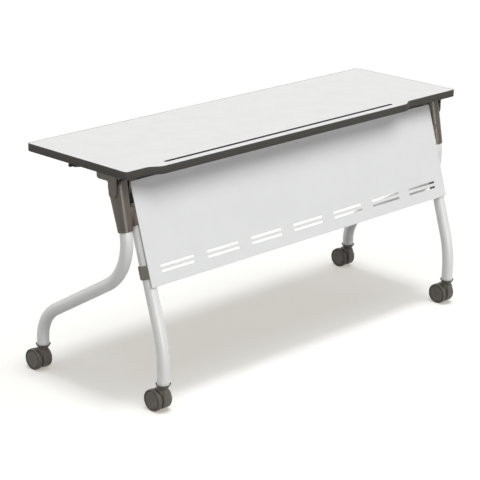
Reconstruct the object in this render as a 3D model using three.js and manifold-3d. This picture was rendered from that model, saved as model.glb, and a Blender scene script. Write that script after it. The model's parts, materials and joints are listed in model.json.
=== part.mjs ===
// Flip top training table: a tilting worktop on two end frames, a modesty panel and four twin wheel casters.
// Millimetres, +Z up. X runs along the table, the modesty panel faces -Y and the user sits on the +Y side.
// The origin is on the floor, under the middle of the table's footprint.
import * as THREE from "three";
import { mergeVertices } from "three/addons/utils/BufferGeometryUtils.js";
import Module from "manifold-3d";

const wasm = await Module();
wasm.setup();

// Driving dimensions: worktop
const TABLE_HEIGHT = 720;
const TOP_LENGTH = 1500;
const TOP_DEPTH = 428; // between the user's edge and the straight stretches of the panel side edge
const TOP_THICKNESS = 23;
const TOP_CORNER_RADIUS = 12;
const BAND_THICKNESS = 2;
const PROJECTION = 22; // how far the middle of the panel side edge stands out
const PROJECTION_LEFT_MARGIN = 135; // from the left end to where the edge stands fully out
const PROJECTION_RIGHT_MARGIN = 295;
const PROJECTION_RUN = 62; // length of each S-shaped step
const GROOVE_WIDTH = 13;
const GROOVE_DEPTH = 12;
const GROOVE_INSET = 34; // from the projecting edge to the groove's centre line
const GROOVE_END_MARGIN = 25; // from each end of the projecting edge to the groove
const LINER_WALL = 1.2;

// Driving dimensions: tilting gear
const PIVOT_DROP = 54; // from the worktop's underside to the tilt axis
const PIVOT_INSET = 66; // from the straight panel side edge to the tilt axis
const PIVOT_PIN_RADIUS = 6;
const BUSH_WALL = 2.6;
const BRACKET_PLATE = 4;
const BRACKET_WIDTH = 91; // base plate, from the outer cheek inwards
const BRACKET_BACK_REACH = 10; // base plate beyond the tilt axis on the panel side
const BRACKET_ARM_REACH = 64; // outer arm beyond the tilt axis on the user's side
const BRACKET_CHANNEL_REACH = 283; // channel beyond the tilt axis on the user's side
const CHANNEL_WIDTH = 42;
const RIB_THICKNESS = 4;
const RIB_DEPTH = 19;
const RIB_START = 38; // ribs begin this far from the tilt axis
const RIB_END = 198;
const CHEEK_THICKNESS = 6;
const CHEEK_CLEARANCE = 1; // running gap beside the head
const LOBE_RADIUS = 14;
const ARM_DEPTH = 16; // outer arm below the base plate
const ARM_END_RADIUS = 9;
const STOP_PAD_HEIGHT = 5;
const STOP_PAD_RADIUS = 8;
const STOP_OFFSET = 20; // stop beyond the tilt axis on the user's side

// Driving dimensions: release bar and its rocker levers
const BAR_RADIUS = 6;
const BAR_END_INSET = 50; // from the end of the worktop to the bar's end
const BAR_REACH = 233; // from the tilt axis towards the user
const BAR_DROP = 28; // bar's centre below the worktop's underside
const LEVER_THICKNESS = 8;
const LEVER_INSET = 17; // lever's outer face inside the channel's outer face
const LEVER_PIVOT_REACH = 168;
const LEVER_PIVOT_DROP = 14;
const LEVER_PIN_RADIUS = 3;
const LEVER_HUB_RADIUS = 8;
const LEVER_EYE_RADIUS = 10;
const LEVER_NOSE_REACH = 44; // nose of the rocker, measured from the tilt axis
const LEVER_NOSE_HEIGHT = 12;
const SPRING_WIRE_RADIUS = 1;
const SPRING_TURNS = 4;
const SPRING_PITCH = 2.5;
const KEEPER_WIDTH = 18;
const KEEPER_DEPTH = 12;
const KEEPER_GAP = 6; // between the keeper and the rocker's nose
const KEEPER_HEIGHT = 32; // keeper's tip above the tilt axis

// Driving dimensions: end frames
const FRONT_LEG_INSET = 37; // from the end of the worktop to the front leg's plane
const REAR_LEG_STEP = 44.5; // the rear leg stands this much further in
const TUBE_RADIUS = 19;
const TUBE_WALL = 2;
const TUBE_BOTTOM = 82; // above the floor
const FRONT_FOOT_REACH = 195; // from the middle of the worktop towards the user
const REAR_FOOT_REACH = 285; // from the middle of the worktop towards the panel side
const HEAD_TILT = 13; // degrees, lower end towards the panel side
const HEAD_LENGTH = 151;
const HEAD_DROP = 113; // from the tilt axis down to where the front leg leaves the head
const HEAD_BOTTOM_OFFSET = 25; // from the tilt axis to that point, towards the panel side
const HEAD_HALF_WIDTH = 23; // at the head's upper end
const HEAD_FOOT_HALF = 21.4; // round collar at the head's lower end
const HEAD_HUB_RADIUS = 38; // boss about the tilt axis, inside the inner cheek
const HEAD_HUB_LENGTH = 27;
const HEAD_NECK_HALF = 18; // neck that carries the boss on the rear leg's socket
const HEAD_TOP_FRONT = 26; // half depths at the head's upper end
const HEAD_TOP_BACK = 34;
const HEAD_EDGE_RADIUS = 19;
const HEAD_SHOULDER_RADIUS = 22;
const HEAD_COVER_THICKNESS = 7;
const LEG_SOCKET_DEPTH = 85;
const FRONT_NECK = 0.4; // straight tube between the head and the upper bend
const FRONT_SHIN = 26.6; // straight tube below the lower bend
const FRONT_UPPER_BEND = 165;
const FRONT_LOWER_BEND = 120;
const REAR_KNEE_HEIGHT = 189;
const REAR_BEND = 400;
const REAR_SOCKET_WALL = 4;
const REAR_SOCKET_DROP = 39; // socket's upper end below the tilt axis, on the leg's axis
const REAR_SOCKET_OFFSET = 6.15; // from the tilt axis to that point, towards the panel side
const REAR_SOCKET_LENGTH = 62;
const SOCKET_CAP = 6; // closed end of a blind socket

// Driving dimensions: cross beam and modesty panel
const BEAM_SIZE = 28;
const BEAM_WALL = 2;
const BEAM_RISE = 14; // beam's middle above the tilt axis
const BEAM_OFFSET = 20; // from the tilt axis towards the user
const BEAM_PAD_STEP = 28.5; // from the rear leg's plane in to the beam's end
const PANEL_OVERHANG = 13.5; // panel's end beyond the rear leg's plane
const PANEL_THICKNESS = 1.5;
const PANEL_DROP = 28; // panel's upper edge below the worktop's underside
const PANEL_HEIGHT = 297; // measured upright
const PANEL_CORNER_RADIUS = 6;
const PANEL_STANDOFF = 2.2; // clip wall between the rear leg and the panel
const PANEL_TOP_FLANGE = 10;
const PANEL_BOTTOM_FLANGE = 8;
const PANEL_FLANGE_MARGIN = 50; // both flanges stay clear of the heads and rear legs
const SLOT_COUNT = 7;
const SLOT_END_MARGIN = 47.7; // from the panel's end to the first slot
const SLOT_SPACING = 51.6; // between neighbouring slots
const SLOT_WIDTH = 7;
const SLOT_ROW_GAP = 16;
const SLOT_ROW_HEIGHT = 39; // lower row above the panel's bottom edge, along the panel
const CLIP_LENGTH = 40;
const CLIP_WALL = 4.5;
const CLIP_RISE = 38; // clip's middle above the panel's bottom edge
const HANGER_WIDTH = 60;
const HANGER_PLACE = 330; // from the middle of the table
const HANGER_HEIGHT = 16;
const HANGER_DROP = 4; // hanger's middle below the beam's middle

// Driving dimensions: casters
const WHEEL_RADIUS = 33.5;
const WHEEL_WIDTH = 15;
const WHEEL_GAP = 0.6;
const WHEEL_FACE_RADIUS = 28.5;
const HOOD_WIDTH = 23;
const HOOD_GROUND_GAP = 11;
const HOOD_NECK_RADIUS = 16;
const CASTER_TRAIL = 21.5; // wheel axle behind the swivel axis
const AXLE_RADIUS = 4;
const AXLE_SEAT = 9.5; // axle's length inside each wheel
const STEM_RADIUS = 5;
const STEM_LENGTH = 60;
const SOCKET_RIM_RADIUS = 23;
const SOCKET_RIM_RISE = 4; // rim above the tube's end
const SOCKET_BASE = 12; // socket below the tube's end

// Clearances and roundness
const GAP = 0.3; // between pieces that touch
const RUNNING_GAP = 0.4; // between a pin and its bore
const ROUND = 20; // sides of a round piece
const TUBE_SIDES = 16;
const TUBE_BORE_SIDES = 10;
const BEND_STEPS = 7;

// Places that follow from the dimensions. Y is counted from the middle of the worktop's straight part.
const RAD = Math.PI / 180;
const undersideZ = TABLE_HEIGHT - TOP_THICKNESS;
const pivotY = -TOP_DEPTH / 2 + PIVOT_INSET;
const pivotZ = undersideZ - PIVOT_DROP;
const frontLegX = TOP_LENGTH / 2 - FRONT_LEG_INSET;
const rearLegX = frontLegX - REAR_LEG_STEP;
const headOuterX = frontLegX + HEAD_HALF_WIDTH;
const headInnerX = frontLegX - HEAD_HALF_WIDTH;
const cheekOuterX = headOuterX + CHEEK_CLEARANCE + CHEEK_THICKNESS;
const plateInnerX = cheekOuterX - BRACKET_WIDTH;
const channelOuterX = plateInnerX + CHANNEL_WIDTH;
const leverOuterX = channelOuterX - LEVER_INSET;
const plateTopZ = undersideZ - GAP;
const plateBottomZ = plateTopZ - BRACKET_PLATE;
const barY = pivotY + BAR_REACH;
const barZ = undersideZ - BAR_DROP;
const leverPivotY = pivotY + LEVER_PIVOT_REACH;
const leverPivotZ = undersideZ - LEVER_PIVOT_DROP;
const barHalf = TOP_LENGTH / 2 - BAR_END_INSET;
const headBottomZ = pivotZ - HEAD_DROP;
const rearSocketTop = pivotZ - REAR_SOCKET_DROP;
const rearLean = (pivotY - REAR_SOCKET_OFFSET + REAR_FOOT_REACH) / (rearSocketTop - REAR_KNEE_HEIGHT);
const rearTilt = Math.atan(rearLean);
const beamEndX = rearLegX - BEAM_PAD_STEP;
const beamY = pivotY + BEAM_OFFSET;
const beamZ = pivotZ + BEAM_RISE;
const panelHalfWidth = rearLegX + PANEL_OVERHANG;
const panelTopZ = undersideZ - PANEL_DROP;
const panelBottomZ = panelTopZ - PANEL_HEIGHT;
const slotRun = 2 * (panelHalfWidth - SLOT_END_MARGIN);
const slotLength = (slotRun - (SLOT_COUNT - 1) * SLOT_SPACING) / SLOT_COUNT;
const hoodTopZ = TUBE_BOTTOM - SOCKET_BASE - 0.6;
const footprintUser = FRONT_FOOT_REACH + CASTER_TRAIL + WHEEL_RADIUS;
const footprintPanel = -REAR_FOOT_REACH - SOCKET_RIM_RADIUS;
const footprintMiddle = (footprintUser + footprintPanel) / 2;

// Finishes
function finish(color, roughness, metalness) {
  return new THREE.MeshStandardMaterial({ color, roughness, metalness });
}
const LAMINATE = finish(0xe9e8e5, 0.45, 0);
const EDGING = finish(0x504f4b, 0.55, 0);
const TAUPE = finish(0x585249, 0.5, 0.2);
const TAUPE_PLASTIC = finish(0x5a544c, 0.6, 0);
const SILVER_WHITE = finish(0xd9dad8, 0.4, 0.1);
const PANEL_WHITE = finish(0xe2e3e3, 0.5, 0.1);
const STEEL = finish(0x9a9a98, 0.35, 0.9);
const RUBBER = finish(0x2b2a28, 0.8, 0);
const BUSHING = finish(0xb9b4a6, 0.6, 0);

// Solids: three.js shapes joined and cut as closed meshes
function solid(geometry) {
  const bare = geometry.clone();
  for (const name of Object.keys(bare.attributes)) {
    if (name !== "position") bare.deleteAttribute(name);
  }
  const merged = mergeVertices(bare, 1e-4);
  const mesh = new wasm.Mesh({
    numProp: 3,
    vertProperties: new Float32Array(merged.attributes.position.array),
    triVerts: new Uint32Array(merged.index.array),
  });
  mesh.merge();
  return new wasm.Manifold(mesh);
}

function shell(manifold) {
  const { numProp, vertProperties, triVerts } = manifold.getMesh();
  const count = vertProperties.length / numProp;
  const position = new Float32Array(count * 3);
  for (let i = 0; i < count; i += 1) {
    position.set(vertProperties.subarray(i * numProp, i * numProp + 3), i * 3);
  }
  const geometry = new THREE.BufferGeometry();
  geometry.setAttribute("position", new THREE.BufferAttribute(position, 3));
  geometry.setIndex(new THREE.BufferAttribute(new Uint32Array(triVerts), 1));
  geometry.computeVertexNormals();
  return geometry;
}

function join(...geometries) {
  return shell(geometries.map(solid).reduce((whole, next) => whole.add(next)));
}

function cut(geometry, ...tools) {
  return shell(tools.map(solid).reduce((whole, next) => whole.subtract(next), solid(geometry)));
}

function common(first, second) {
  return shell(solid(first).intersect(solid(second)));
}

// A box between two corners
function block(x0, x1, y0, y1, z0, z1) {
  const geometry = new THREE.BoxGeometry(x1 - x0, y1 - y0, z1 - z0);
  return geometry.translate((x0 + x1) / 2, (y0 + y1) / 2, (z0 + z1) / 2);
}

// A Shape drawn in X and Y, raised from z0 to z1
function prismZ(shape, z0, z1, curveSegments = 6) {
  const geometry = new THREE.ExtrudeGeometry(shape, { depth: z1 - z0, bevelEnabled: false, curveSegments });
  return geometry.translate(0, 0, z0);
}

// A Shape drawn in Y and Z, drawn out from x0 to x1
function prismX(shape, x0, x1, curveSegments = 8) {
  const geometry = new THREE.ExtrudeGeometry(shape, { depth: x1 - x0, bevelEnabled: false, curveSegments });
  const axes = new THREE.Matrix4().makeBasis(
    new THREE.Vector3(0, 1, 0),
    new THREE.Vector3(0, 0, 1),
    new THREE.Vector3(1, 0, 0),
  );
  return geometry.applyMatrix4(axes).translate(x0, 0, 0);
}

// A round bar along X
function rodX(radius, x0, x1, y, z, sides = ROUND) {
  const geometry = new THREE.CylinderGeometry(radius, radius, x1 - x0, sides);
  return geometry.rotateZ(Math.PI / 2).translate((x0 + x1) / 2, y, z);
}

// A round bar between two points
function rodBetween(radius, from, to, sides = ROUND) {
  const axis = new THREE.Vector3().subVectors(to, from);
  const geometry = new THREE.CylinderGeometry(radius, radius, axis.length(), sides);
  const up = new THREE.Vector3(0, 1, 0);
  const turn = new THREE.Quaternion().setFromUnitVectors(up, axis.clone().normalize());
  const middle = new THREE.Vector3().addVectors(from, to).multiplyScalar(0.5);
  return geometry.applyQuaternion(turn).translate(middle.x, middle.y, middle.z);
}

// A turned piece about the Z axis from radius and height pairs that start and end on the axis
function turned(profile, sides = ROUND) {
  const points = profile.map(([r, z]) => new THREE.Vector2(r, z));
  if (THREE.ShapeUtils.area(points) < 0) points.reverse();
  return new THREE.LatheGeometry(points, sides).rotateX(Math.PI / 2);
}

function ring(radius, sides) {
  const points = [];
  for (let i = 0; i < sides; i += 1) {
    const angle = (2 * Math.PI * i) / sides;
    points.push(new THREE.Vector2(radius * Math.cos(angle), radius * Math.sin(angle)));
  }
  return points;
}

// A path through chosen stations, so that straight stretches take one step
class StationPath extends THREE.Curve {
  constructor(stations) {
    super();
    this.stations = stations;
  }

  getPoint(t) {
    const place = Math.min(Math.max(t, 0), 1) * (this.stations.length - 1);
    const index = Math.min(Math.floor(place), this.stations.length - 2);
    return new THREE.Vector3().lerpVectors(this.stations[index], this.stations[index + 1], place - index);
  }

  getPointAt(u) {
    return this.getPoint(u);
  }

  getTangentAt(u) {
    const last = this.stations.length - 1;
    const index = Math.round(Math.min(Math.max(u, 0), 1) * last);
    const before = this.stations[Math.max(index - 1, 0)];
    const here = this.stations[index];
    const after = this.stations[Math.min(index + 1, last)];
    const arrive = new THREE.Vector3().subVectors(here, before).normalize();
    const leave = new THREE.Vector3().subVectors(after, here).normalize();
    return arrive.add(leave).normalize();
  }
}

// Corner points in Y and Z, with each inner corner rounded to its bend radius, as stations in the plane x
function bentStations(x, corners, bends) {
  const stations = [new THREE.Vector3(x, corners[0].x, corners[0].y)];
  for (let i = 1; i < corners.length - 1; i += 1) {
    const inward = new THREE.Vector2().subVectors(corners[i - 1], corners[i]).normalize();
    const outward = new THREE.Vector2().subVectors(corners[i + 1], corners[i]).normalize();
    const half = Math.acos(THREE.MathUtils.clamp(inward.dot(outward), -1, 1)) / 2;
    const bisector = new THREE.Vector2().addVectors(inward, outward).normalize();
    const centre = corners[i].clone().addScaledVector(bisector, bends[i - 1] / Math.sin(half));
    const tangent = bends[i - 1] / Math.tan(half);
    const start = corners[i].clone().addScaledVector(inward, tangent).sub(centre);
    const end = corners[i].clone().addScaledVector(outward, tangent).sub(centre);
    const sweep = Math.atan2(start.cross(end), start.dot(end));
    for (let step = 0; step <= BEND_STEPS; step += 1) {
      const point = start.clone().rotateAround(new THREE.Vector2(), (sweep * step) / BEND_STEPS).add(centre);
      stations.push(new THREE.Vector3(x, point.x, point.y));
    }
  }
  const last = corners[corners.length - 1];
  stations.push(new THREE.Vector3(x, last.x, last.y));
  return stations;
}

function bentTube(stations, radius, wall) {
  const section = new THREE.Shape(ring(radius, TUBE_SIDES));
  const bore = (radius - wall) / Math.cos(Math.PI / TUBE_BORE_SIDES); // its flats clear a round plug
  section.holes.push(new THREE.Path(ring(bore, TUBE_BORE_SIDES)));
  const extrudePath = new StationPath(stations);
  return new THREE.ExtrudeGeometry(section, { steps: stations.length - 1, bevelEnabled: false, extrudePath });
}

// Closed body through rings of equally many points
function loft(rings) {
  const position = rings.flat().flatMap((point) => point.toArray());
  const count = rings[0].length;
  const index = [];
  for (let r = 0; r < rings.length - 1; r += 1) {
    for (let i = 0; i < count; i += 1) {
      const a = r * count + i;
      const b = r * count + ((i + 1) % count);
      index.push(a, b, b + count, a, b + count, a + count);
    }
  }
  const top = (rings.length - 1) * count;
  for (let i = 1; i < count - 1; i += 1) {
    index.push(0, i + 1, i, top, top + i, top + i + 1);
  }
  const geometry = new THREE.BufferGeometry();
  geometry.setAttribute("position", new THREE.Float32BufferAttribute(position, 3));
  return geometry.setIndex(index);
}

function addPiece(group, name, geometry, material) {
  const mesh = new THREE.Mesh(geometry, material);
  mesh.name = name;
  group.add(mesh);
  return mesh;
}

// Worktop outline, set in by a margin, with the panel side edge standing out in its middle
function topOutline(inset) {
  const half = TOP_LENGTH / 2 - inset;
  const user = TOP_DEPTH / 2 - inset;
  const edge = -TOP_DEPTH / 2 + inset;
  const r = TOP_CORNER_RADIUS - inset;
  const out = edge - PROJECTION;
  const left = -TOP_LENGTH / 2 + PROJECTION_LEFT_MARGIN;
  const right = TOP_LENGTH / 2 - PROJECTION_RIGHT_MARGIN;
  const swing = PROJECTION_RUN / 2;
  const shape = new THREE.Shape();
  shape.moveTo(-half + r, edge);
  shape.lineTo(left - PROJECTION_RUN, edge);
  shape.bezierCurveTo(left - swing, edge, left - swing, out, left, out);
  shape.lineTo(right, out);
  shape.bezierCurveTo(right + swing, out, right + swing, edge, right + PROJECTION_RUN, edge);
  shape.lineTo(half - r, edge);
  shape.absarc(half - r, edge + r, r, -Math.PI / 2, 0, false);
  shape.lineTo(half, user - r);
  shape.absarc(half - r, user - r, r, 0, Math.PI / 2, false);
  shape.lineTo(-half + r, user);
  shape.absarc(-half + r, user - r, r, Math.PI / 2, Math.PI, false);
  shape.lineTo(-half, edge + r);
  shape.absarc(-half + r, edge + r, r, Math.PI, 1.5 * Math.PI, false);
  return shape;
}

// A slot with round ends along X
function slotShape(x0, x1, y, width) {
  const r = width / 2;
  const shape = new THREE.Shape();
  shape.moveTo(x0 + r, y - r);
  shape.lineTo(x1 - r, y - r);
  shape.absarc(x1 - r, y, r, -Math.PI / 2, Math.PI / 2, false);
  shape.lineTo(x0 + r, y + r);
  shape.absarc(x0 + r, y, r, Math.PI / 2, 1.5 * Math.PI, false);
  return shape;
}

function makeWorktop(group) {
  const grooveY = -TOP_DEPTH / 2 - PROJECTION + GROOVE_INSET;
  const grooveLeft = -TOP_LENGTH / 2 + PROJECTION_LEFT_MARGIN + GROOVE_END_MARGIN;
  const grooveRight = TOP_LENGTH / 2 - PROJECTION_RIGHT_MARGIN - GROOVE_END_MARGIN;
  const grooveFloor = TABLE_HEIGHT - GROOVE_DEPTH;
  const groove = (inset, floor, top) => {
    const width = GROOVE_WIDTH - 2 * inset;
    return prismZ(slotShape(grooveLeft + inset, grooveRight - inset, grooveY, width), floor, top, 6);
  };

  const board = prismZ(topOutline(BAND_THICKNESS + GAP), undersideZ, TABLE_HEIGHT);
  addPiece(group, "top_board", cut(board, groove(0, grooveFloor, TABLE_HEIGHT + 1)), LAMINATE);

  const band = topOutline(0);
  band.holes.push(topOutline(BAND_THICKNESS));
  addPiece(group, "edge_band", prismZ(band, undersideZ, TABLE_HEIGHT), EDGING);

  const liner = groove(GAP, grooveFloor + GAP, TABLE_HEIGHT);
  const hollow = groove(GAP + LINER_WALL, grooveFloor + GAP + LINER_WALL, TABLE_HEIGHT + 1);
  addPiece(group, "groove_liner", cut(liner, hollow), EDGING);
}

// Cheek of the tilt bracket: a round lobe about the tilt axis that runs up into the base plate
function cheekShape(reach, depth, endRadius) {
  const front = pivotY - LOBE_RADIUS;
  const back = pivotY + LOBE_RADIUS;
  const end = pivotY + reach;
  const under = plateBottomZ - depth;
  const shape = new THREE.Shape();
  shape.moveTo(front, plateTopZ);
  shape.lineTo(front, pivotZ);
  shape.absarc(pivotY, pivotZ, LOBE_RADIUS, Math.PI, 2 * Math.PI, false);
  shape.quadraticCurveTo(back, under, back + LOBE_RADIUS / 2, under);
  shape.lineTo(end - endRadius, under);
  shape.absarc(end - endRadius, under + endRadius, endRadius, -Math.PI / 2, 0, false);
  shape.lineTo(end, plateTopZ);
  return shape;
}

function makeTiltBracket(group, side) {
  const plateStart = pivotY - BRACKET_BACK_REACH;
  const innerCheek = headInnerX - CHEEK_CLEARANCE;
  const ribs = [channelOuterX - RIB_THICKNESS, plateInnerX].map((x) =>
    block(x, x + RIB_THICKNESS, pivotY + RIB_START, pivotY + RIB_END, plateBottomZ - RIB_DEPTH, plateTopZ),
  );
  const cheekInnerX = cheekOuterX - CHEEK_THICKNESS;
  const bracket = join(
    block(plateInnerX, cheekOuterX, plateStart, pivotY + BRACKET_ARM_REACH, plateBottomZ, plateTopZ),
    block(plateInnerX, channelOuterX, plateStart, pivotY + BRACKET_CHANNEL_REACH, plateBottomZ, plateTopZ),
    prismX(cheekShape(BRACKET_ARM_REACH, ARM_DEPTH, ARM_END_RADIUS), cheekInnerX, cheekOuterX),
    prismX(cheekShape(2 * LOBE_RADIUS, ARM_DEPTH, 1), innerCheek - CHEEK_THICKNESS, innerCheek),
    ...ribs,
  );
  const skin = CHEEK_THICKNESS / 4; // the outer cheek hides the pin's end
  const pinBore = PIVOT_PIN_RADIUS + GAP;
  addPiece(
    group,
    `tilt_bracket_${side}`,
    cut(
      bracket,
      rodX(pinBore, innerCheek - CHEEK_THICKNESS - 1, cheekOuterX - skin, pivotY, pivotZ),
      rodX(LEVER_PIN_RADIUS + GAP, plateInnerX - 1, channelOuterX + 1, leverPivotY, leverPivotZ),
    ),
    TAUPE,
  );
  const pinStart = innerCheek - CHEEK_THICKNESS;
  const pivotPin = rodX(PIVOT_PIN_RADIUS, pinStart, cheekOuterX - skin - GAP, pivotY, pivotZ);
  addPiece(group, `pivot_pin_${side}`, pivotPin, STEEL);
  const leverPin = rodX(LEVER_PIN_RADIUS, plateInnerX, channelOuterX, leverPivotY, leverPivotZ, 12);
  addPiece(group, `lever_pin_${side}`, leverPin, STEEL);
}

// Return spring of the release lever, wound round the lever's pin
function makeLeverSpring(group, side) {
  const coilRadius = LEVER_PIN_RADIUS + RUNNING_GAP + SPRING_WIRE_RADIUS;
  const start = leverOuterX + GAP + SPRING_WIRE_RADIUS;
  const stepsPerTurn = 8;
  const steps = SPRING_TURNS * stepsPerTurn;
  const stations = [];
  for (let i = 0; i <= steps; i += 1) {
    const angle = (2 * Math.PI * i) / stepsPerTurn;
    const x = start + (SPRING_PITCH * i) / stepsPerTurn;
    const y = leverPivotY + (coilRadius / Math.cos(Math.PI / stepsPerTurn)) * Math.cos(angle);
    const z = leverPivotZ + (coilRadius / Math.cos(Math.PI / stepsPerTurn)) * Math.sin(angle);
    stations.push(new THREE.Vector3(x, y, z));
  }
  const section = new THREE.Shape(ring(SPRING_WIRE_RADIUS, 5));
  const extrudePath = new StationPath(stations);
  const wire = new THREE.ExtrudeGeometry(section, { steps, bevelEnabled: false, extrudePath });
  addPiece(group, `lever_spring_${side}`, wire, STEEL);
}

// Rocker lever: the bar's eye on the user's side, a hub on the lever pin, and the latch nose towards the head
function makeReleaseLever(group, side) {
  const noseY = pivotY + LEVER_NOSE_REACH;
  const hub = LEVER_HUB_RADIUS;
  const eye = LEVER_EYE_RADIUS;
  const arm = new THREE.Shape();
  arm.moveTo(noseY, leverPivotZ - LEVER_NOSE_HEIGHT / 2);
  arm.lineTo(leverPivotY, leverPivotZ - hub);
  arm.lineTo(barY, barZ - eye);
  arm.absarc(barY, barZ, eye, -Math.PI / 2, Math.PI / 2, false);
  arm.lineTo(leverPivotY, leverPivotZ + hub);
  arm.lineTo(noseY, leverPivotZ + LEVER_NOSE_HEIGHT / 2);
  const inner = leverOuterX - LEVER_THICKNESS;
  const lever = cut(
    prismX(arm, inner, leverOuterX),
    rodX(LEVER_PIN_RADIUS + RUNNING_GAP, inner - 1, leverOuterX + 1, leverPivotY, leverPivotZ, 12),
    rodX(BAR_RADIUS + GAP, inner - 1, leverOuterX + 1, barY, barZ, 16),
  );
  addPiece(group, `release_lever_${side}`, lever, TAUPE);
}

function makeReleaseBar(group) {
  const straight = barHalf - BAR_RADIUS;
  const profile = [[0, -barHalf]];
  for (const angle of [-60, -30, 0, 0, 30, 60]) {
    const end = profile.length < 4 ? -straight : straight;
    profile.push([BAR_RADIUS * Math.cos(angle * RAD), end + BAR_RADIUS * Math.sin(angle * RAD)]);
  }
  profile.push([0, barHalf]);
  const bar = turned(profile, 16).rotateY(Math.PI / 2).translate(0, barY, barZ);
  addPiece(group, "release_bar", bar, TAUPE);
}

// Head axis: the front leg's upper end, counted upwards from where it leaves the head
const headSin = Math.sin(HEAD_TILT * RAD);
const headCos = Math.cos(HEAD_TILT * RAD);
function onHead(x, along, forward) {
  const y = pivotY - HEAD_BOTTOM_OFFSET + headSin * along - headCos * forward;
  const z = headBottomZ + headCos * along + headSin * forward;
  return new THREE.Vector3(x, y, z);
}

// Rounded section of the head at one height, drawn in on its outer side by the shoulder
function headRing(along, drawIn) {
  const share = along / HEAD_LENGTH;
  const front = THREE.MathUtils.lerp(HEAD_FOOT_HALF, HEAD_TOP_FRONT, share);
  const back = THREE.MathUtils.lerp(HEAD_FOOT_HALF, HEAD_TOP_BACK, share);
  const inner = THREE.MathUtils.lerp(HEAD_FOOT_HALF, HEAD_HALF_WIDTH, share);
  const outer = inner - drawIn;
  const r = Math.min(HEAD_EDGE_RADIUS, (outer + inner) / 2 - 1);
  const corners = [
    [outer - r, front - r],
    [-inner + r, front - r],
    [-inner + r, -back + r],
    [outer - r, -back + r],
  ];
  const points = [];
  corners.forEach(([x, forward], quarter) => {
    for (let step = 0; step <= 4; step += 1) {
      const angle = ((quarter + step / 4) * Math.PI) / 2;
      points.push(onHead(frontLegX + x + r * Math.cos(angle), along, forward + r * Math.sin(angle)));
    }
  });
  return points.reverse(); // counter-clockwise from above, because forward is towards -Y
}

function headBody() {
  const rings = [headRing(0, 0)];
  for (let angle = 0; angle <= 75; angle += 25) {
    const along = HEAD_LENGTH - HEAD_SHOULDER_RADIUS * (1 - Math.sin(angle * RAD));
    rings.push(headRing(along, HEAD_SHOULDER_RADIUS * (1 - Math.cos(angle * RAD)) * 0.8));
  }
  return loft(rings);
}

// Rear leg axis above its knee, by height
function rearAxisY(z) {
  return -REAR_FOOT_REACH + (z - REAR_KNEE_HEIGHT) * rearLean;
}

function onRearAxis(z) {
  return new THREE.Vector3(rearLegX, rearAxisY(z), z);
}

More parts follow.
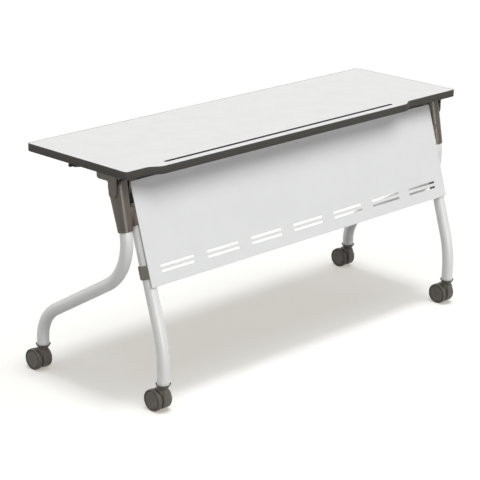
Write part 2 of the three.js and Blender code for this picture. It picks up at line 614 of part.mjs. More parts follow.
function makeHead(group, side) {
  const whole = headBody();
  const seam = headOuterX - HEAD_COVER_THICKNESS;
  const far = 400;
  const inside = block(0, seam - GAP / 2, -far, far, 0, TABLE_HEIGHT);
  const outside = block(seam + GAP / 2, headOuterX + far, -far, far, 0, TABLE_HEIGHT);

  const socketRadius = TUBE_RADIUS + GAP + REAR_SOCKET_WALL;
  const socketBottom = rearSocketTop - REAR_SOCKET_LENGTH;
  const web = new THREE.Shape();
  web.moveTo(rearAxisY(socketBottom) - TUBE_RADIUS, socketBottom);
  web.lineTo(rearAxisY(socketBottom) + TUBE_RADIUS, socketBottom);
  web.lineTo(rearAxisY(rearSocketTop) + TUBE_RADIUS, rearSocketTop);
  web.lineTo(rearAxisY(rearSocketTop) - TUBE_RADIUS, rearSocketTop);
  const padHalf = BEAM_SIZE / 2 + 2;
  const keeperY = pivotY + LEVER_NOSE_REACH - KEEPER_GAP - KEEPER_DEPTH;
  const keeperX = leverOuterX - LEVER_THICKNESS / 2;
  const stopTop = plateBottomZ - GAP - STOP_PAD_HEIGHT - GAP;
  const stopY = pivotY + STOP_OFFSET;
  const stopFoot = pivotZ + LOBE_RADIUS;
  const hubEnd = headInnerX - 2 * CHEEK_CLEARANCE - CHEEK_THICKNESS;
  const casting = join(
    common(whole, inside),
    rodBetween(socketRadius, onRearAxis(socketBottom), onRearAxis(rearSocketTop)),
    prismX(web, rearLegX, frontLegX - TUBE_RADIUS / 2),
    rodX(HEAD_HUB_RADIUS, hubEnd - HEAD_HUB_LENGTH, hubEnd, pivotY, pivotZ, 32),
    block(
      hubEnd - HEAD_HUB_LENGTH,
      hubEnd,
      pivotY - HEAD_NECK_HALF,
      pivotY + HEAD_NECK_HALF,
      rearSocketTop - SOCKET_CAP,
      pivotZ,
    ),
    block(beamEndX, rearLegX, beamY - padHalf, beamY + padHalf, beamZ - padHalf, beamZ + padHalf),
    block(
      keeperX - KEEPER_WIDTH / 2,
      keeperX + KEEPER_WIDTH / 2,
      keeperY,
      keeperY + KEEPER_DEPTH,
      pivotZ,
      pivotZ + KEEPER_HEIGHT,
    ),
    new THREE.CylinderGeometry(STOP_PAD_RADIUS, STOP_PAD_RADIUS, stopTop - stopFoot, ROUND)
      .rotateX(Math.PI / 2)
      .translate(frontLegX, stopY, (stopTop + stopFoot) / 2),
  );

  const bushRadius = PIVOT_PIN_RADIUS + RUNNING_GAP + BUSH_WALL;
  const bushBore = rodX(bushRadius + GAP, headInnerX - 1, headOuterX + 1, pivotY, pivotZ);
  const tubeBore = TUBE_RADIUS + GAP;
  const panelSeat = new THREE.Shape(); // flat on the socket and the boss where the panel passes
  const seatOffset = panelBackOffset - 2 * GAP;
  panelSeat.moveTo(panelFaceY(panelBottomZ, seatOffset), panelBottomZ);
  panelSeat.lineTo(panelFaceY(undersideZ, seatOffset), undersideZ);
  panelSeat.lineTo(panelFaceY(panelBottomZ, seatOffset), undersideZ);
  const rearBoreTop = onRearAxis(rearSocketTop - SOCKET_CAP);
  const rearBoreBottom = onRearAxis(socketBottom - socketRadius * rearLean - 5);
  addPiece(
    group,
    `head_casting_${side}`,
    cut(
      casting,
      bushBore,
      prismX(panelSeat, 0, panelHalfWidth + CHEEK_CLEARANCE),
      rodBetween(tubeBore, onHead(frontLegX, -40, 0), onHead(frontLegX, LEG_SOCKET_DEPTH, 0)),
      rodBetween(tubeBore, rearBoreBottom, rearBoreTop),
    ),
    TAUPE,
  );
  const coverBore = rodBetween(tubeBore, onHead(frontLegX, -40, 0), onHead(frontLegX, LEG_SOCKET_DEPTH, 0));
  addPiece(group, `head_cover_${side}`, cut(common(whole, outside), bushBore, coverBore), TAUPE_PLASTIC);

  const bush = cut(
    rodX(bushRadius, headInnerX, headOuterX, pivotY, pivotZ),
    rodX(PIVOT_PIN_RADIUS + RUNNING_GAP, headInnerX - 1, headOuterX + 1, pivotY, pivotZ),
  );
  addPiece(group, `pivot_bush_${side}`, bush, BUSHING);

  const pad = turned([
    [0, 0],
    [STOP_PAD_RADIUS, 0],
    [STOP_PAD_RADIUS, STOP_PAD_HEIGHT - 1.5],
    [STOP_PAD_RADIUS - 1.5, STOP_PAD_HEIGHT],
    [0, STOP_PAD_HEIGHT],
  ]);
  addPiece(group, `stop_pad_${side}`, pad.translate(frontLegX, stopY, stopTop + GAP), RUBBER);
}

// Corner points of the front leg: out of the head, down the slope towards the user, and down to the caster.
// The slope is the line that touches both bends.
function frontLegCorners() {
  const top = onHead(frontLegX, LEG_SOCKET_DEPTH - GAP, 0);
  const bendTop = onHead(frontLegX, -FRONT_NECK, 0);
  const upperCentre = onHead(frontLegX, -FRONT_NECK, -FRONT_UPPER_BEND);
  const lowerCentreY = FRONT_FOOT_REACH - FRONT_LOWER_BEND;
  const lowerCentreZ = TUBE_BOTTOM + FRONT_SHIN;
  const across = lowerCentreY - upperCentre.y;
  const down = upperCentre.z - lowerCentreZ;
  const bends = FRONT_UPPER_BEND + FRONT_LOWER_BEND;
  const slope = Math.atan2(down, across) - Math.asin(bends / Math.hypot(across, down));
  const upperLength = FRONT_UPPER_BEND * Math.tan((Math.PI / 2 + HEAD_TILT * RAD - slope) / 2);
  const lowerLength = FRONT_LOWER_BEND * Math.tan((Math.PI / 2 - slope) / 2);
  return [
    new THREE.Vector2(top.y, top.z),
    new THREE.Vector2(bendTop.y - headSin * upperLength, bendTop.z - headCos * upperLength),
    new THREE.Vector2(FRONT_FOOT_REACH, lowerCentreZ + lowerLength),
    new THREE.Vector2(FRONT_FOOT_REACH, TUBE_BOTTOM),
  ];
}

function rearLegCorners() {
  const top = onRearAxis(rearSocketTop - SOCKET_CAP - GAP);
  return [
    new THREE.Vector2(top.y, top.z),
    new THREE.Vector2(-REAR_FOOT_REACH, REAR_KNEE_HEIGHT),
    new THREE.Vector2(-REAR_FOOT_REACH, TUBE_BOTTOM),
  ];
}

function makeLegs(group, side) {
  const front = bentStations(frontLegX, frontLegCorners(), [FRONT_UPPER_BEND, FRONT_LOWER_BEND]);
  addPiece(group, `front_leg_${side}`, bentTube(front, TUBE_RADIUS, TUBE_WALL), SILVER_WHITE);
  const rear = bentStations(rearLegX, rearLegCorners(), [REAR_BEND]);
  addPiece(group, `rear_leg_${side}`, bentTube(rear, TUBE_RADIUS, TUBE_WALL), SILVER_WHITE);
}

function makeBeam(group) {
  const half = BEAM_SIZE / 2;
  const section = new THREE.Shape();
  section.moveTo(beamY - half, beamZ - half);
  section.lineTo(beamY + half, beamZ - half);
  section.lineTo(beamY + half, beamZ + half);
  section.lineTo(beamY - half, beamZ + half);
  const bore = half - BEAM_WALL;
  const hole = new THREE.Path();
  hole.moveTo(beamY - bore, beamZ - bore);
  hole.lineTo(beamY - bore, beamZ + bore);
  hole.lineTo(beamY + bore, beamZ + bore);
  hole.lineTo(beamY + bore, beamZ - bore);
  section.holes.push(hole);
  addPiece(group, "cross_beam", prismX(section, -beamEndX + GAP, beamEndX - GAP), TAUPE);
}

// Panel frame: local Y runs up the panel, local Z points out of its face, the origin is on its outer face
const panelBackOffset = TUBE_RADIUS + GAP + PANEL_STANDOFF + GAP;
const panelOuterOffset = panelBackOffset + PANEL_THICKNESS;
const panelSin = Math.sin(rearTilt);
const panelCos = Math.cos(rearTilt);
function panelFaceY(z, offset) {
  return rearAxisY(z) - offset / panelCos;
}

function makePanel(group) {
  const frame = new THREE.Group();
  frame.position.set(0, panelFaceY(panelBottomZ, panelBackOffset), panelBottomZ);
  frame.rotation.x = Math.PI / 2 - rearTilt;
  group.add(frame);

  const height = (panelTopZ - panelBottomZ) / panelCos;
  const r = PANEL_CORNER_RADIUS;
  const half = panelHalfWidth;
  const face = new THREE.Shape();
  face.moveTo(-half + r, 0);
  face.lineTo(half - r, 0);
  face.absarc(half - r, r, r, -Math.PI / 2, 0, false);
  face.lineTo(half, height - r);
  face.absarc(half - r, height - r, r, 0, Math.PI / 2, false);
  face.lineTo(-half + r, height);
  face.absarc(-half + r, height - r, r, Math.PI / 2, Math.PI, false);
  face.lineTo(-half, r);
  face.absarc(-half + r, r, r, Math.PI, 1.5 * Math.PI, false);
  for (const row of [SLOT_ROW_HEIGHT, SLOT_ROW_HEIGHT + SLOT_ROW_GAP]) {
    for (let i = 0; i < SLOT_COUNT; i += 1) {
      const start = -slotRun / 2 + i * (slotLength + SLOT_SPACING);
      face.holes.push(slotShape(start, start + slotLength, row, SLOT_WIDTH));
    }
  }
  const flangeEnd = half - PANEL_FLANGE_MARGIN;
  const sheet = join(
    prismZ(face, 0, PANEL_THICKNESS, 3),
    block(-flangeEnd, flangeEnd, height - PANEL_THICKNESS, height, -PANEL_TOP_FLANGE, PANEL_THICKNESS),
    block(-flangeEnd, flangeEnd, 0, PANEL_THICKNESS, -PANEL_BOTTOM_FLANGE, PANEL_THICKNESS),
  );
  addPiece(frame, "modesty_panel", sheet, PANEL_WHITE);
}

// Saddle clip between the rear leg and the panel, drawn across the leg and run along it. Its seat ends level
// with the panel's end.
function makePanelClip(group, side) {
  const outer = TUBE_RADIUS + GAP + CLIP_WALL;
  const flat = panelBackOffset - GAP;
  const section = new THREE.Shape();
  section.moveTo(-PANEL_OVERHANG, flat);
  section.lineTo(-outer, 0);
  section.absarc(0, 0, outer, Math.PI, 2 * Math.PI, false);
  section.lineTo(PANEL_OVERHANG, flat);
  section.holes.push(new THREE.Path(ring(TUBE_RADIUS + GAP, TUBE_SIDES)));
  const clip = prismZ(section, -CLIP_LENGTH / 2, CLIP_LENGTH / 2, 6);
  const axes = new THREE.Matrix4().makeBasis(
    new THREE.Vector3(1, 0, 0),
    new THREE.Vector3(0, -panelCos, panelSin),
    new THREE.Vector3(0, -panelSin, -panelCos),
  );
  const place = onRearAxis(panelBottomZ + CLIP_RISE);
  const geometry = clip.applyMatrix4(axes).translate(place.x, place.y, place.z);
  addPiece(group, `panel_clip_${side}`, geometry, TAUPE_PLASTIC);
}

// Hanger between the cross beam and the back of the panel
function makePanelHanger(group, side) {
  const low = beamZ - HANGER_DROP - HANGER_HEIGHT / 2;
  const high = beamZ - HANGER_DROP + HANGER_HEIGHT / 2;
  const seat = beamY - BEAM_SIZE / 2 - GAP;
  const back = panelBackOffset - 2 * GAP;
  const section = new THREE.Shape();
  section.moveTo(seat, low);
  section.lineTo(seat, high);
  section.lineTo(panelFaceY(high, back), high);
  section.lineTo(panelFaceY(low, back), low);
  const hanger = prismX(section, HANGER_PLACE - HANGER_WIDTH / 2, HANGER_PLACE + HANGER_WIDTH / 2);
  addPiece(group, `panel_hanger_${side}`, hanger, TAUPE_PLASTIC);
}

// Casters, drawn about the swivel axis with the wheels trailing towards +Y
function makeCasterSocket(group, corner) {
  const end = TUBE_BOTTOM - GAP;
  const base = TUBE_BOTTOM - SOCKET_BASE;
  const plug = TUBE_RADIUS - TUBE_WALL - 2 * GAP;
  const cup = TUBE_RADIUS + GAP;
  const bore = STEM_RADIUS + RUNNING_GAP;
  const boreTop = hoodTopZ - STEM_LENGTH * 0.4 + STEM_LENGTH + GAP;
  const socket = turned([
    [0, boreTop],
    [bore, boreTop],
    [bore, base],
    [HOOD_NECK_RADIUS - 1, base],
    [TUBE_RADIUS + 1, base + SOCKET_BASE * 0.4],
    [SOCKET_RIM_RADIUS, TUBE_BOTTOM + SOCKET_RIM_RISE],
    [SOCKET_RIM_RADIUS - 1, TUBE_BOTTOM + SOCKET_RIM_RISE + 0.5],
    [cup, TUBE_BOTTOM + 1],
    [cup, end],
    [plug, end],
    [plug, boreTop + SOCKET_CAP],
    [0, boreTop + SOCKET_CAP],
  ], 16);
  addPiece(group, `caster_socket_${corner}`, socket, TAUPE_PLASTIC);
}

function hoodShape() {
  const floorAngle = Math.asin((HOOD_GROUND_GAP - WHEEL_RADIUS) / (WHEEL_RADIUS - 1.5));
  const neck = HOOD_NECK_RADIUS;
  const shape = new THREE.Shape();
  shape.absarc(CASTER_TRAIL, WHEEL_RADIUS, WHEEL_RADIUS - 1.5, floorAngle, 0.56 * Math.PI, false);
  shape.lineTo(neck, hoodTopZ - 4);
  shape.lineTo(neck - 2, hoodTopZ);
  shape.lineTo(-neck + 2, hoodTopZ);
  shape.lineTo(-neck, hoodTopZ - 4);
  shape.bezierCurveTo(
    -neck - 1,
    WHEEL_RADIUS + 17,
    -neck - 9,
    WHEEL_RADIUS - 6,
    -neck + 11,
    HOOD_GROUND_GAP,
  );
  return shape;
}

function makeCaster(group, corner) {
  const half = HOOD_WIDTH / 2;
  const stemBottom = hoodTopZ - STEM_LENGTH * 0.4;
  const stem = turned([
    [0, stemBottom],
    [STEM_RADIUS, stemBottom],
    [STEM_RADIUS, stemBottom + STEM_LENGTH - 1],
    [STEM_RADIUS - 1, stemBottom + STEM_LENGTH],
    [0, stemBottom + STEM_LENGTH],
  ], 16);
  addPiece(group, `caster_stem_${corner}`, stem, STEEL);

  const neck = turned([
    [0, WHEEL_RADIUS],
    [HOOD_NECK_RADIUS, WHEEL_RADIUS],
    [HOOD_NECK_RADIUS, hoodTopZ - 4],
    [HOOD_NECK_RADIUS - 2, hoodTopZ],
    [0, hoodTopZ],
  ]);
  const wheelClearance = WHEEL_RADIUS + 1.5;
  const wheelRoom = [half, -half - WHEEL_WIDTH].map((x) =>
    rodX(wheelClearance, x, x + WHEEL_WIDTH, CASTER_TRAIL, WHEEL_RADIUS, 32),
  );
  const pocket = block(-half + 3, half - 3, 2, CASTER_TRAIL + 16, 0, HOOD_GROUND_GAP + 5);
  const hood = cut(
    join(prismX(hoodShape(), -half, half, 6), cut(neck, ...wheelRoom)),
    pocket,
    rodX(AXLE_RADIUS + GAP, -half - 1, half + 1, CASTER_TRAIL, WHEEL_RADIUS, 16),
    turned([
      [0, stemBottom - GAP],
      [STEM_RADIUS + GAP, stemBottom - GAP],
      [STEM_RADIUS + GAP, hoodTopZ + 1],
      [0, hoodTopZ + 1],
    ], 16),
  );
  addPiece(group, `caster_hood_${corner}`, hood, TAUPE_PLASTIC);

  const reach = half + WHEEL_GAP + AXLE_SEAT;
  const axle = rodX(AXLE_RADIUS, -reach, reach, CASTER_TRAIL, WHEEL_RADIUS, 16);
  addPiece(group, `caster_axle_${corner}`, axle, STEEL);

  const face = WHEEL_FACE_RADIUS;
  const width = WHEEL_WIDTH;
  const wheel = turned([
    [0, AXLE_SEAT + GAP],
    [AXLE_RADIUS + RUNNING_GAP, AXLE_SEAT + GAP],
    [AXLE_RADIUS + RUNNING_GAP, 0],
    [WHEEL_RADIUS - 1.5, 0],
    [WHEEL_RADIUS, 1.5],
    [WHEEL_RADIUS, width - 4],
    [face + 1.5, width - 1],
    [face, width - 2],
    [face - 1.5, width - 0.6],
    [0, width],
  ]);
  for (const [name, sign] of [["outboard", 1], ["inboard", -1]]) {
    const turn = wheel.clone().rotateY((sign * Math.PI) / 2);
    turn.translate(sign * (half + WHEEL_GAP), CASTER_TRAIL, WHEEL_RADIUS);
    addPiece(group, `caster_wheel_${corner}_${name}`, turn, TAUPE_PLASTIC);
  }
}

function makeCasters(group, side) {
  const feet = { front: [frontLegX, FRONT_FOOT_REACH], rear: [rearLegX, -REAR_FOOT_REACH] };
  for (const [end, [x, y]] of Object.entries(feet)) {
    const corner = new THREE.Group();
    corner.position.set(x, y, 0);
    group.add(corner);
    makeCasterSocket(corner, `${end}_${side}`);
    makeCaster(corner, `${end}_${side}`);
  }
}

const table = new THREE.Group();
table.position.y = -footprintMiddle;
makeWorktop(table);
makeReleaseBar(table);
makeBeam(table);
makePanel(table);
for (const [side, mirror] of [["right", 1], ["left", -1]]) {
  const end = new THREE.Group();
  end.scale.x = mirror;
  table.add(end);
  makeTiltBracket(end, side);
  makeLeverSpring(end, side);
  makeReleaseLever(end, side);
  makeHead(end, side);
  makeLegs(end, side);
  makePanelClip(end, side);
  makePanelHanger(end, side);
  makeCasters(end, side);
}

const flipTopTable = new THREE.Group();
flipTopTable.add(table);

export default flipTopTable;
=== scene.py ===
"""Dresses the flip top training table and stands it on a pale studio floor."""

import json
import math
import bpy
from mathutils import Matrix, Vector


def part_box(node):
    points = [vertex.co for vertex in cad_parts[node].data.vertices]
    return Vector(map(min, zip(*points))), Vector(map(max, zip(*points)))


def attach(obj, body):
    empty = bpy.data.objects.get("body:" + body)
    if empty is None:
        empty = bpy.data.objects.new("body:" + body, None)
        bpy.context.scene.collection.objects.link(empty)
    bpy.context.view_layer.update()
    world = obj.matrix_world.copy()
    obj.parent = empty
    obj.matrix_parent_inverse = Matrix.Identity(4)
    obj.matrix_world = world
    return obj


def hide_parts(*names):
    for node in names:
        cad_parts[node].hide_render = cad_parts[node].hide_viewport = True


bl_info = {
    "name": "Flip Top Training Table",
    "version": (1, 0, 0),
    "blender": (4, 5, 0),
    "location": "View3D > Sidebar > Training Table",
    "description": "Builds the visible worktop, frame, panel and casters of a flip top training table",
    "category": "Object",
}

import bmesh
import bpy
from bpy.props import FloatProperty, FloatVectorProperty, IntProperty, PointerProperty
from mathutils import Matrix, Vector

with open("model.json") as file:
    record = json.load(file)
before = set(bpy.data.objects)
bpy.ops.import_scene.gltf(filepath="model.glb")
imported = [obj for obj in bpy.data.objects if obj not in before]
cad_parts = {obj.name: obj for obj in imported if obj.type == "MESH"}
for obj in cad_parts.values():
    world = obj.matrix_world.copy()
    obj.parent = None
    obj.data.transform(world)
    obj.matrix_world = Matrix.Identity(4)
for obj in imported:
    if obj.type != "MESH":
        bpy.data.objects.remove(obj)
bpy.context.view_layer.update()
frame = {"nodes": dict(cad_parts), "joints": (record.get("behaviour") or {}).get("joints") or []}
NODES = frame["nodes"]
BAND_LOW, BAND_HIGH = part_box("edge_band")
AXES = {joint["name"]: Vector(joint["pos_m"]) for joint in frame["joints"]}
PIVOT = AXES["top_flip"]
LEVER_PIVOT = AXES["release_lift"]
CORNERS = ("front_left", "front_right", "rear_left", "rear_right")
FEET = {corner: AXES[f"swivel_{corner}"] for corner in CORNERS}
SIDES = {"left": -1.0, "right": 1.0}
MM = 0.001
UP = Vector((0.0, 0.0, 1.0))


def size(name, description, millimetres):
    """A length that a user would change."""
    return FloatProperty(
        name=name, description=description, default=millimetres * MM, unit="LENGTH", precision=4
    )


def tilt(name, description, degrees):
    """An angle that a user would change."""
    return FloatProperty(name=name, description=description, default=math.radians(degrees), subtype="ANGLE")


def colour(name, description, red, green, blue):
    """A finish's colour, in linear light."""
    return FloatVectorProperty(
        name=name, description=description, default=(red, green, blue), subtype="COLOR", min=0.0, max=1.0
    )


def strength(name, description, value):
    """The strength of a light."""
    return FloatProperty(name=name, description=description, default=value, min=0.0)


def count(name, description, value, least, most):
    """A whole number that a user would change."""
    return IntProperty(name=name, description=description, default=value, min=least, max=most)


class WorktopSizes(bpy.types.PropertyGroup):
    """Sizes of the board, its edging and its groove."""

    corner_radius: size("Corner radius", "Rounding of the worktop's corners, seen from above", 12)
    edging_thickness: size("Edging", "Thickness of the edge band", 3)
    edging_ease: size("Edging ease", "Rounding of the edge band's rims", 0.8)
    projection: size("Projection", "How far the middle of the panel side edge stands out", 22)
    left_margin: size("Left margin", "From the left end to where the edge stands fully out", 135)
    right_margin: size("Right margin", "From the right end to where the edge stands fully out", 295)
    step_run: size("Step run", "Length of each S-shaped step in the edge", 62)
    groove_depth: size("Groove depth", "Depth of the groove for cards and tablets", 12)


class ReleaseSizes(bpy.types.PropertyGroup):
    """Sizes of the release bar's grips and of the return springs."""

    grip_length: size("Grip length", "Length of the bar's end that the grip alone fills", 60)
    grip_overlap: size("Grip overlap", "How far the grip reaches over the rod", 8)
    grip_wall: size("Grip wall", "How much the grip stands proud of the rod", 0.5)
    coil_radius: size("Coil radius", "Radius of the spring at the middle of its wire", 4.6)
    wire_radius: size("Wire radius", "Radius of the spring's wire", 0.9)
    coil_turns: count("Coil turns", "Turns of each return spring", 4, 2, 12)


class FrameSizes(bpy.types.PropertyGroup):
    """Sizes of the heads and the bent legs."""

    tube_radius: size("Tube radius", "Outer radius of the leg tube", 19)
    tube_bottom: size("Tube bottom", "Height of the tube's end above the floor", 82)
    tube_sides: count("Tube sides", "Faces round each tube", 40, 12, 96)
    head_tilt: tilt("Head tilt", "Lean of the head's axis", 13)
    head_length: size("Head length", "Length of the head along its axis", 151)
    head_bottom: size("Head bottom", "Height at which the front leg leaves the head", 530)
    head_offset: size("Head offset", "From the tilt axis to that point, towards the panel", 25)
    head_half_width: size("Head half width", "Half of the head's width at its top", 23)
    head_foot: size("Head foot", "Radius of the collar at the head's foot", 21.4)
    head_top_front: size("Head top front", "Half depth at the top, panel side", 26)
    head_top_back: size("Head top back", "Half depth at the top, user's side", 34)
    head_edge: size("Head edge", "Rounding of the head's upright edges", 19)
    head_shoulder: size("Head shoulder", "Rounding of the head's outer shoulder", 22)
    cover_thickness: size("Cover thickness", "Thickness of the head's outer cover", 7)
    front_top: size("Front top", "How far the front leg reaches up into the head", 84.7)
    front_slope: tilt("Front slope", "Fall of the front leg's sloping stretch", 30.8)
    front_knee_height: size("Front knee height", "Height of the sloping stretch at the knee offset", 305)
    front_knee_offset: size("Front knee offset", "From the tilt axis towards the user", 128)
    front_upper_bend: size("Front upper bend", "Radius of the front leg's upper bend", 165)
    front_lower_bend: size("Front lower bend", "Radius of the front leg's lower bend", 120)
    rear_tilt: tilt("Rear tilt", "Lean of the rear leg above its knee", 17.5)
    rear_knee: size("Rear knee", "Height of the rear leg's knee", 189)
    rear_bend: size("Rear bend", "Radius of the rear leg's bend", 400)
    rear_top: size("Rear top", "Height of the rear leg's upper end", 597)


class FittingSizes(bpy.types.PropertyGroup):
    """Sizes of the fittings on each head and of the panel's clips."""

    bush_bore: size("Bush bore", "Radius of the bore for the pivot bush", 9.2)
    socket_radius: size("Socket radius", "Outer radius of the rear leg's socket", 23.3)
    socket_low: size("Socket low", "Height of the socket's lower end on the leg's axis", 542.5)
    socket_high: size("Socket high", "Height of the socket's upper end on the leg's axis", 604)
    panel_distance: size("Panel distance", "From the rear leg's axis to the flats behind the panel", 21.2)
    beam_margin: size("Beam margin", "How far the beam's pad stands round the beam", 2)
    web_width: size("Web width", "Width of the web beside the rear socket", 36)
    web_half_depth: size("Web half depth", "Half of the web's depth", 16)
    keeper_half_width: size("Keeper half width", "Half of the latch keeper's width", 9)
    keeper_depth: size("Keeper depth", "Depth of the latch keeper", 12)
    keeper_height: size("Keeper height", "Height of the latch keeper above the tilt axis", 32)
    keeper_distance: size("Keeper distance", "From the lever's end to the keeper's far side", 18)
    cheek_slot: size("Cheek slot", "Room for the bracket's inner cheek between head and boss", 8)
    hub_radius: size("Hub radius", "Radius of the boss about the tilt axis", 38)
    hub_length: size("Hub length", "Length of the boss inside the inner cheek", 27)
    neck_half_depth: size("Neck half depth", "Half of the depth of the neck under the boss", 18)
    post_foot: size("Post foot", "Height of the stop post's foot above the tilt axis", 14)
    clip_height: size("Clip height", "Height of the panel's clip on the rear leg's axis", 410)
    clip_half_length: size("Clip half length", "Half of the clip's length along the leg", 20)
    clip_radius: size("Clip radius", "Outer radius of the clip", 23.8)
    clip_seat: size("Clip seat", "From the leg's axis to the clip's seat on the panel", 21.5)
    clip_seat_half: size("Clip seat half", "Half of the seat's width", 13.5)
    clip_edge: size("Clip edge", "Rounding of the clip's ends", 1.6)


class CasterSizes(bpy.types.PropertyGroup):
    """Sizes of the twin wheel casters."""

    wheel_radius: size("Wheel radius", "Rolling radius of the wheels", 33.5)
    wheel_width: size("Wheel width", "Width of one wheel", 15)
    wheel_gap: size("Wheel gap", "Gap between a wheel and the hood", 0.6)
    hood_width: size("Hood width", "Width of the hood between the wheels", 23)
    hood_top: size("Hood top", "Height of the hood's neck", 69.4)
    hood_floor: size("Hood floor", "Height of the hood's lower edge", 11)
    hood_inset: size("Hood inset", "How far the wheels stand out beyond the hood's rim", 1.5)
    hood_edge: size("Hood edge", "Rounding of the hood's edges", 1.8)
    hood_wall: size("Hood wall", "Thickness of the hood's walls at its open underside", 3)
    neck_radius: size("Neck radius", "Radius of the hood's neck", 16)
    trail: size("Trail", "From the swivel axis to the wheel axle", 21.5)
    socket_depth: size("Socket depth", "Depth of the socket below the tube's end", 12)
    rim_radius: size("Rim radius", "Radius of the socket's flared rim", 23)


class TableFinishes(bpy.types.PropertyGroup):
    """Colours of the finishes."""

    laminate: colour("Laminate", "Worktop face", 0.835, 0.833, 0.827)
    edging: colour("Edging", "Edge band", 0.062, 0.059, 0.053)
    # The liner's colour is darker than the edging's: the real dark moulding, with painted shade for the
    # groove's hollow added in.
    liner: colour("Liner", "Moulded liner in the groove", 0.02, 0.019, 0.018)
    taupe: colour("Taupe paint", "Heads, brackets, levers, beam and release bar", 0.1, 0.083, 0.066)
    taupe_plastic: colour("Taupe plastic", "Caster hoods, sockets and hangers", 0.1, 0.088, 0.072)
    clip: colour("Clip plastic", "Clips between the rear legs and the panel", 0.19, 0.168, 0.137)
    wheel: colour("Wheel plastic", "Caster wheels", 0.098, 0.088, 0.074)
    tube: colour("Tube coat", "Powder coat of the legs", 0.8, 0.8, 0.79)
    panel: colour("Panel coat", "Powder coat of the modesty panel", 0.785, 0.788, 0.787)
    steel: colour("Plated steel", "Pins, axles, stems, springs and screws", 0.55, 0.55, 0.54)
    nylon: colour("Nylon", "Pivot bushes", 0.5, 0.46, 0.38)
    rubber: colour("Rubber", "Stop pads and grip ends", 0.022, 0.022, 0.021)
    floor: colour("Floor", "Floor, as the camera sees it", 0.93, 0.97, 0.999)
    floor_glow: colour("Floor glow", "Brightness added to the floor for the camera", 1.0, 0.925, 0.815)
    floor_bounce: colour("Floor bounce", "Floor, as it lights the table from below", 0.73, 0.73, 0.73)


class StageSettings(bpy.types.PropertyGroup):
    """Camera and light."""

    picture_pixels: count("Picture", "Width of the square picture in pixels", 480, 1, 4096)
    focal_pixels: FloatProperty(name="Focal length", description="In pixels of that picture", default=1822.1)
    camera_place: FloatVectorProperty(
        name="Camera",
        description="Place of the camera",
        default=(-4.065, -3.7587, 2.1246),
        subtype="TRANSLATION",
    )
    camera_drop: tilt("Drop", "Downward angle of the view", 18.14)
    camera_turn: tilt("Turn", "Angle of the view from straight ahead towards +X", 46.62)
    camera_roll: tilt("Roll", "Roll of the picture", 1.22)
    horizon_light: strength("Horizon", "Strength of the dome light at its rim", 0.085)
    zenith_light: strength("Zenith", "Strength that the dome light gains overhead", 0.24)
    panel_light: strength("Panel side", "Strength of the soft light on the panel side", 2.4)
    user_light: strength("User's side", "Strength of the soft light on the user's side", 0.9)
    gloss_light: strength("Gloss", "Strength of the strip light that shows in gloss", 1.8)
    floor_light: strength("Floor", "Strength of the light on the floor", 1.41)
    floor_lift: strength("Floor lift", "Strength of the floor's glow", 0.387)
    floor_reach: size("Floor reach", "From the middle of the floor to its edges", 30000)


class TrainingTable(bpy.types.PropertyGroup):
    """Everything that a user would change."""

    worktop: PointerProperty(type=WorktopSizes)
    release: PointerProperty(type=ReleaseSizes)
    frame: PointerProperty(type=FrameSizes)
    fitting: PointerProperty(type=FittingSizes)
    caster: PointerProperty(type=CasterSizes)
    finish: PointerProperty(type=TableFinishes)
    stage: PointerProperty(type=StageSettings)


def settings(context):
    """The table's own settings in the scene."""
    return context.scene.training_table


# Mesh building

CREASE = math.radians(32)
SAME_POINT = 0.001 * MM
CURVE_STEPS = 24
CORNER_STEPS = 8
ROUND_SIDES = 48


def sharpen(mesh):
    """Smooth shading with crisp edges where faces meet at more than the crease angle."""
    form = bmesh.new()
    form.from_mesh(mesh)
    for face in form.faces:
        face.smooth = True
    for edge in form.edges:
        edge.smooth = len(edge.link_faces) == 2 and edge.calc_face_angle(0.0) < CREASE
    form.to_mesh(mesh)
    form.free()


def mesh_from(name, points, faces):
    """A mesh with doubled points merged and its faces pointing out."""
    mesh = bpy.data.meshes.new(name)
    mesh.from_pydata([tuple(p) for p in points], [], faces)
    form = bmesh.new()
    form.from_mesh(mesh)
    bmesh.ops.remove_doubles(form, verts=form.verts, dist=SAME_POINT)
    bmesh.ops.recalc_face_normals(form, faces=form.faces)
    form.to_mesh(mesh)
    form.free()
    sharpen(mesh)
    return mesh


def place(name, mesh, at=(0.0, 0.0, 0.0)):
    """A new object in the scene."""
    piece = bpy.data.objects.new(name, mesh)
    piece.location = at
    bpy.context.scene.collection.objects.link(piece)
    return piece


def around(steps):
    """The angles of equal steps round a full turn."""
    return [2 * math.pi * i / steps for i in range(steps)]


def loft(name, rings, joined=False):
    """A skin through rings of equally many points; its two ends are capped, or joined to each other."""
    width, rows = len(rings[0]), len(rings)
    points = [point for ring in rings for point in ring]
    faces = []
    for row in range(rows if joined else rows - 1):
        here, after = row * width, (row + 1) % rows * width
        for i in range(width):
            j = (i + 1) % width
            faces.append((here + i, here + j, after + j, after + i))
    if not joined:
        faces.append(tuple(reversed(range(width))))
        faces.append(tuple(range(len(points) - width, len(points))))
    return mesh_from(name, points, faces)


def turned(name, profile, axis="Z", sides=ROUND_SIDES):
    """A turned solid from (radius, distance along the axis) pairs that start and end on the axis."""
    points, faces = [], []
    body = profile[1:-1]
    for angle in around(sides):
        for radius, along in body:
            across = (radius * math.cos(angle), radius * math.sin(angle))
            points.append((along, *across) if axis == "X" else (*across, along))
    first, last = len(points), len(points) + 1
    for _, along in (profile[0], profile[-1]):
        points.append((along, 0.0, 0.0) if axis == "X" else (0.0, 0.0, along))
    step = len(body)
    for i in range(sides):
        here, after = i * step, ((i + 1) % sides) * step
        for k in range(step - 1):
            faces.append((here + k, after + k, after + k + 1, here + k + 1))
        faces.append((first, after, here))
        faces.append((last, here + step - 1, after + step - 1))
    return mesh_from(name, points, faces)


def rod(name, radius, low, high, sides):
    """A round bar along X."""
    return turned(name, [(0.0, low), (radius, low), (radius, high), (0.0, high)], "X", sides)


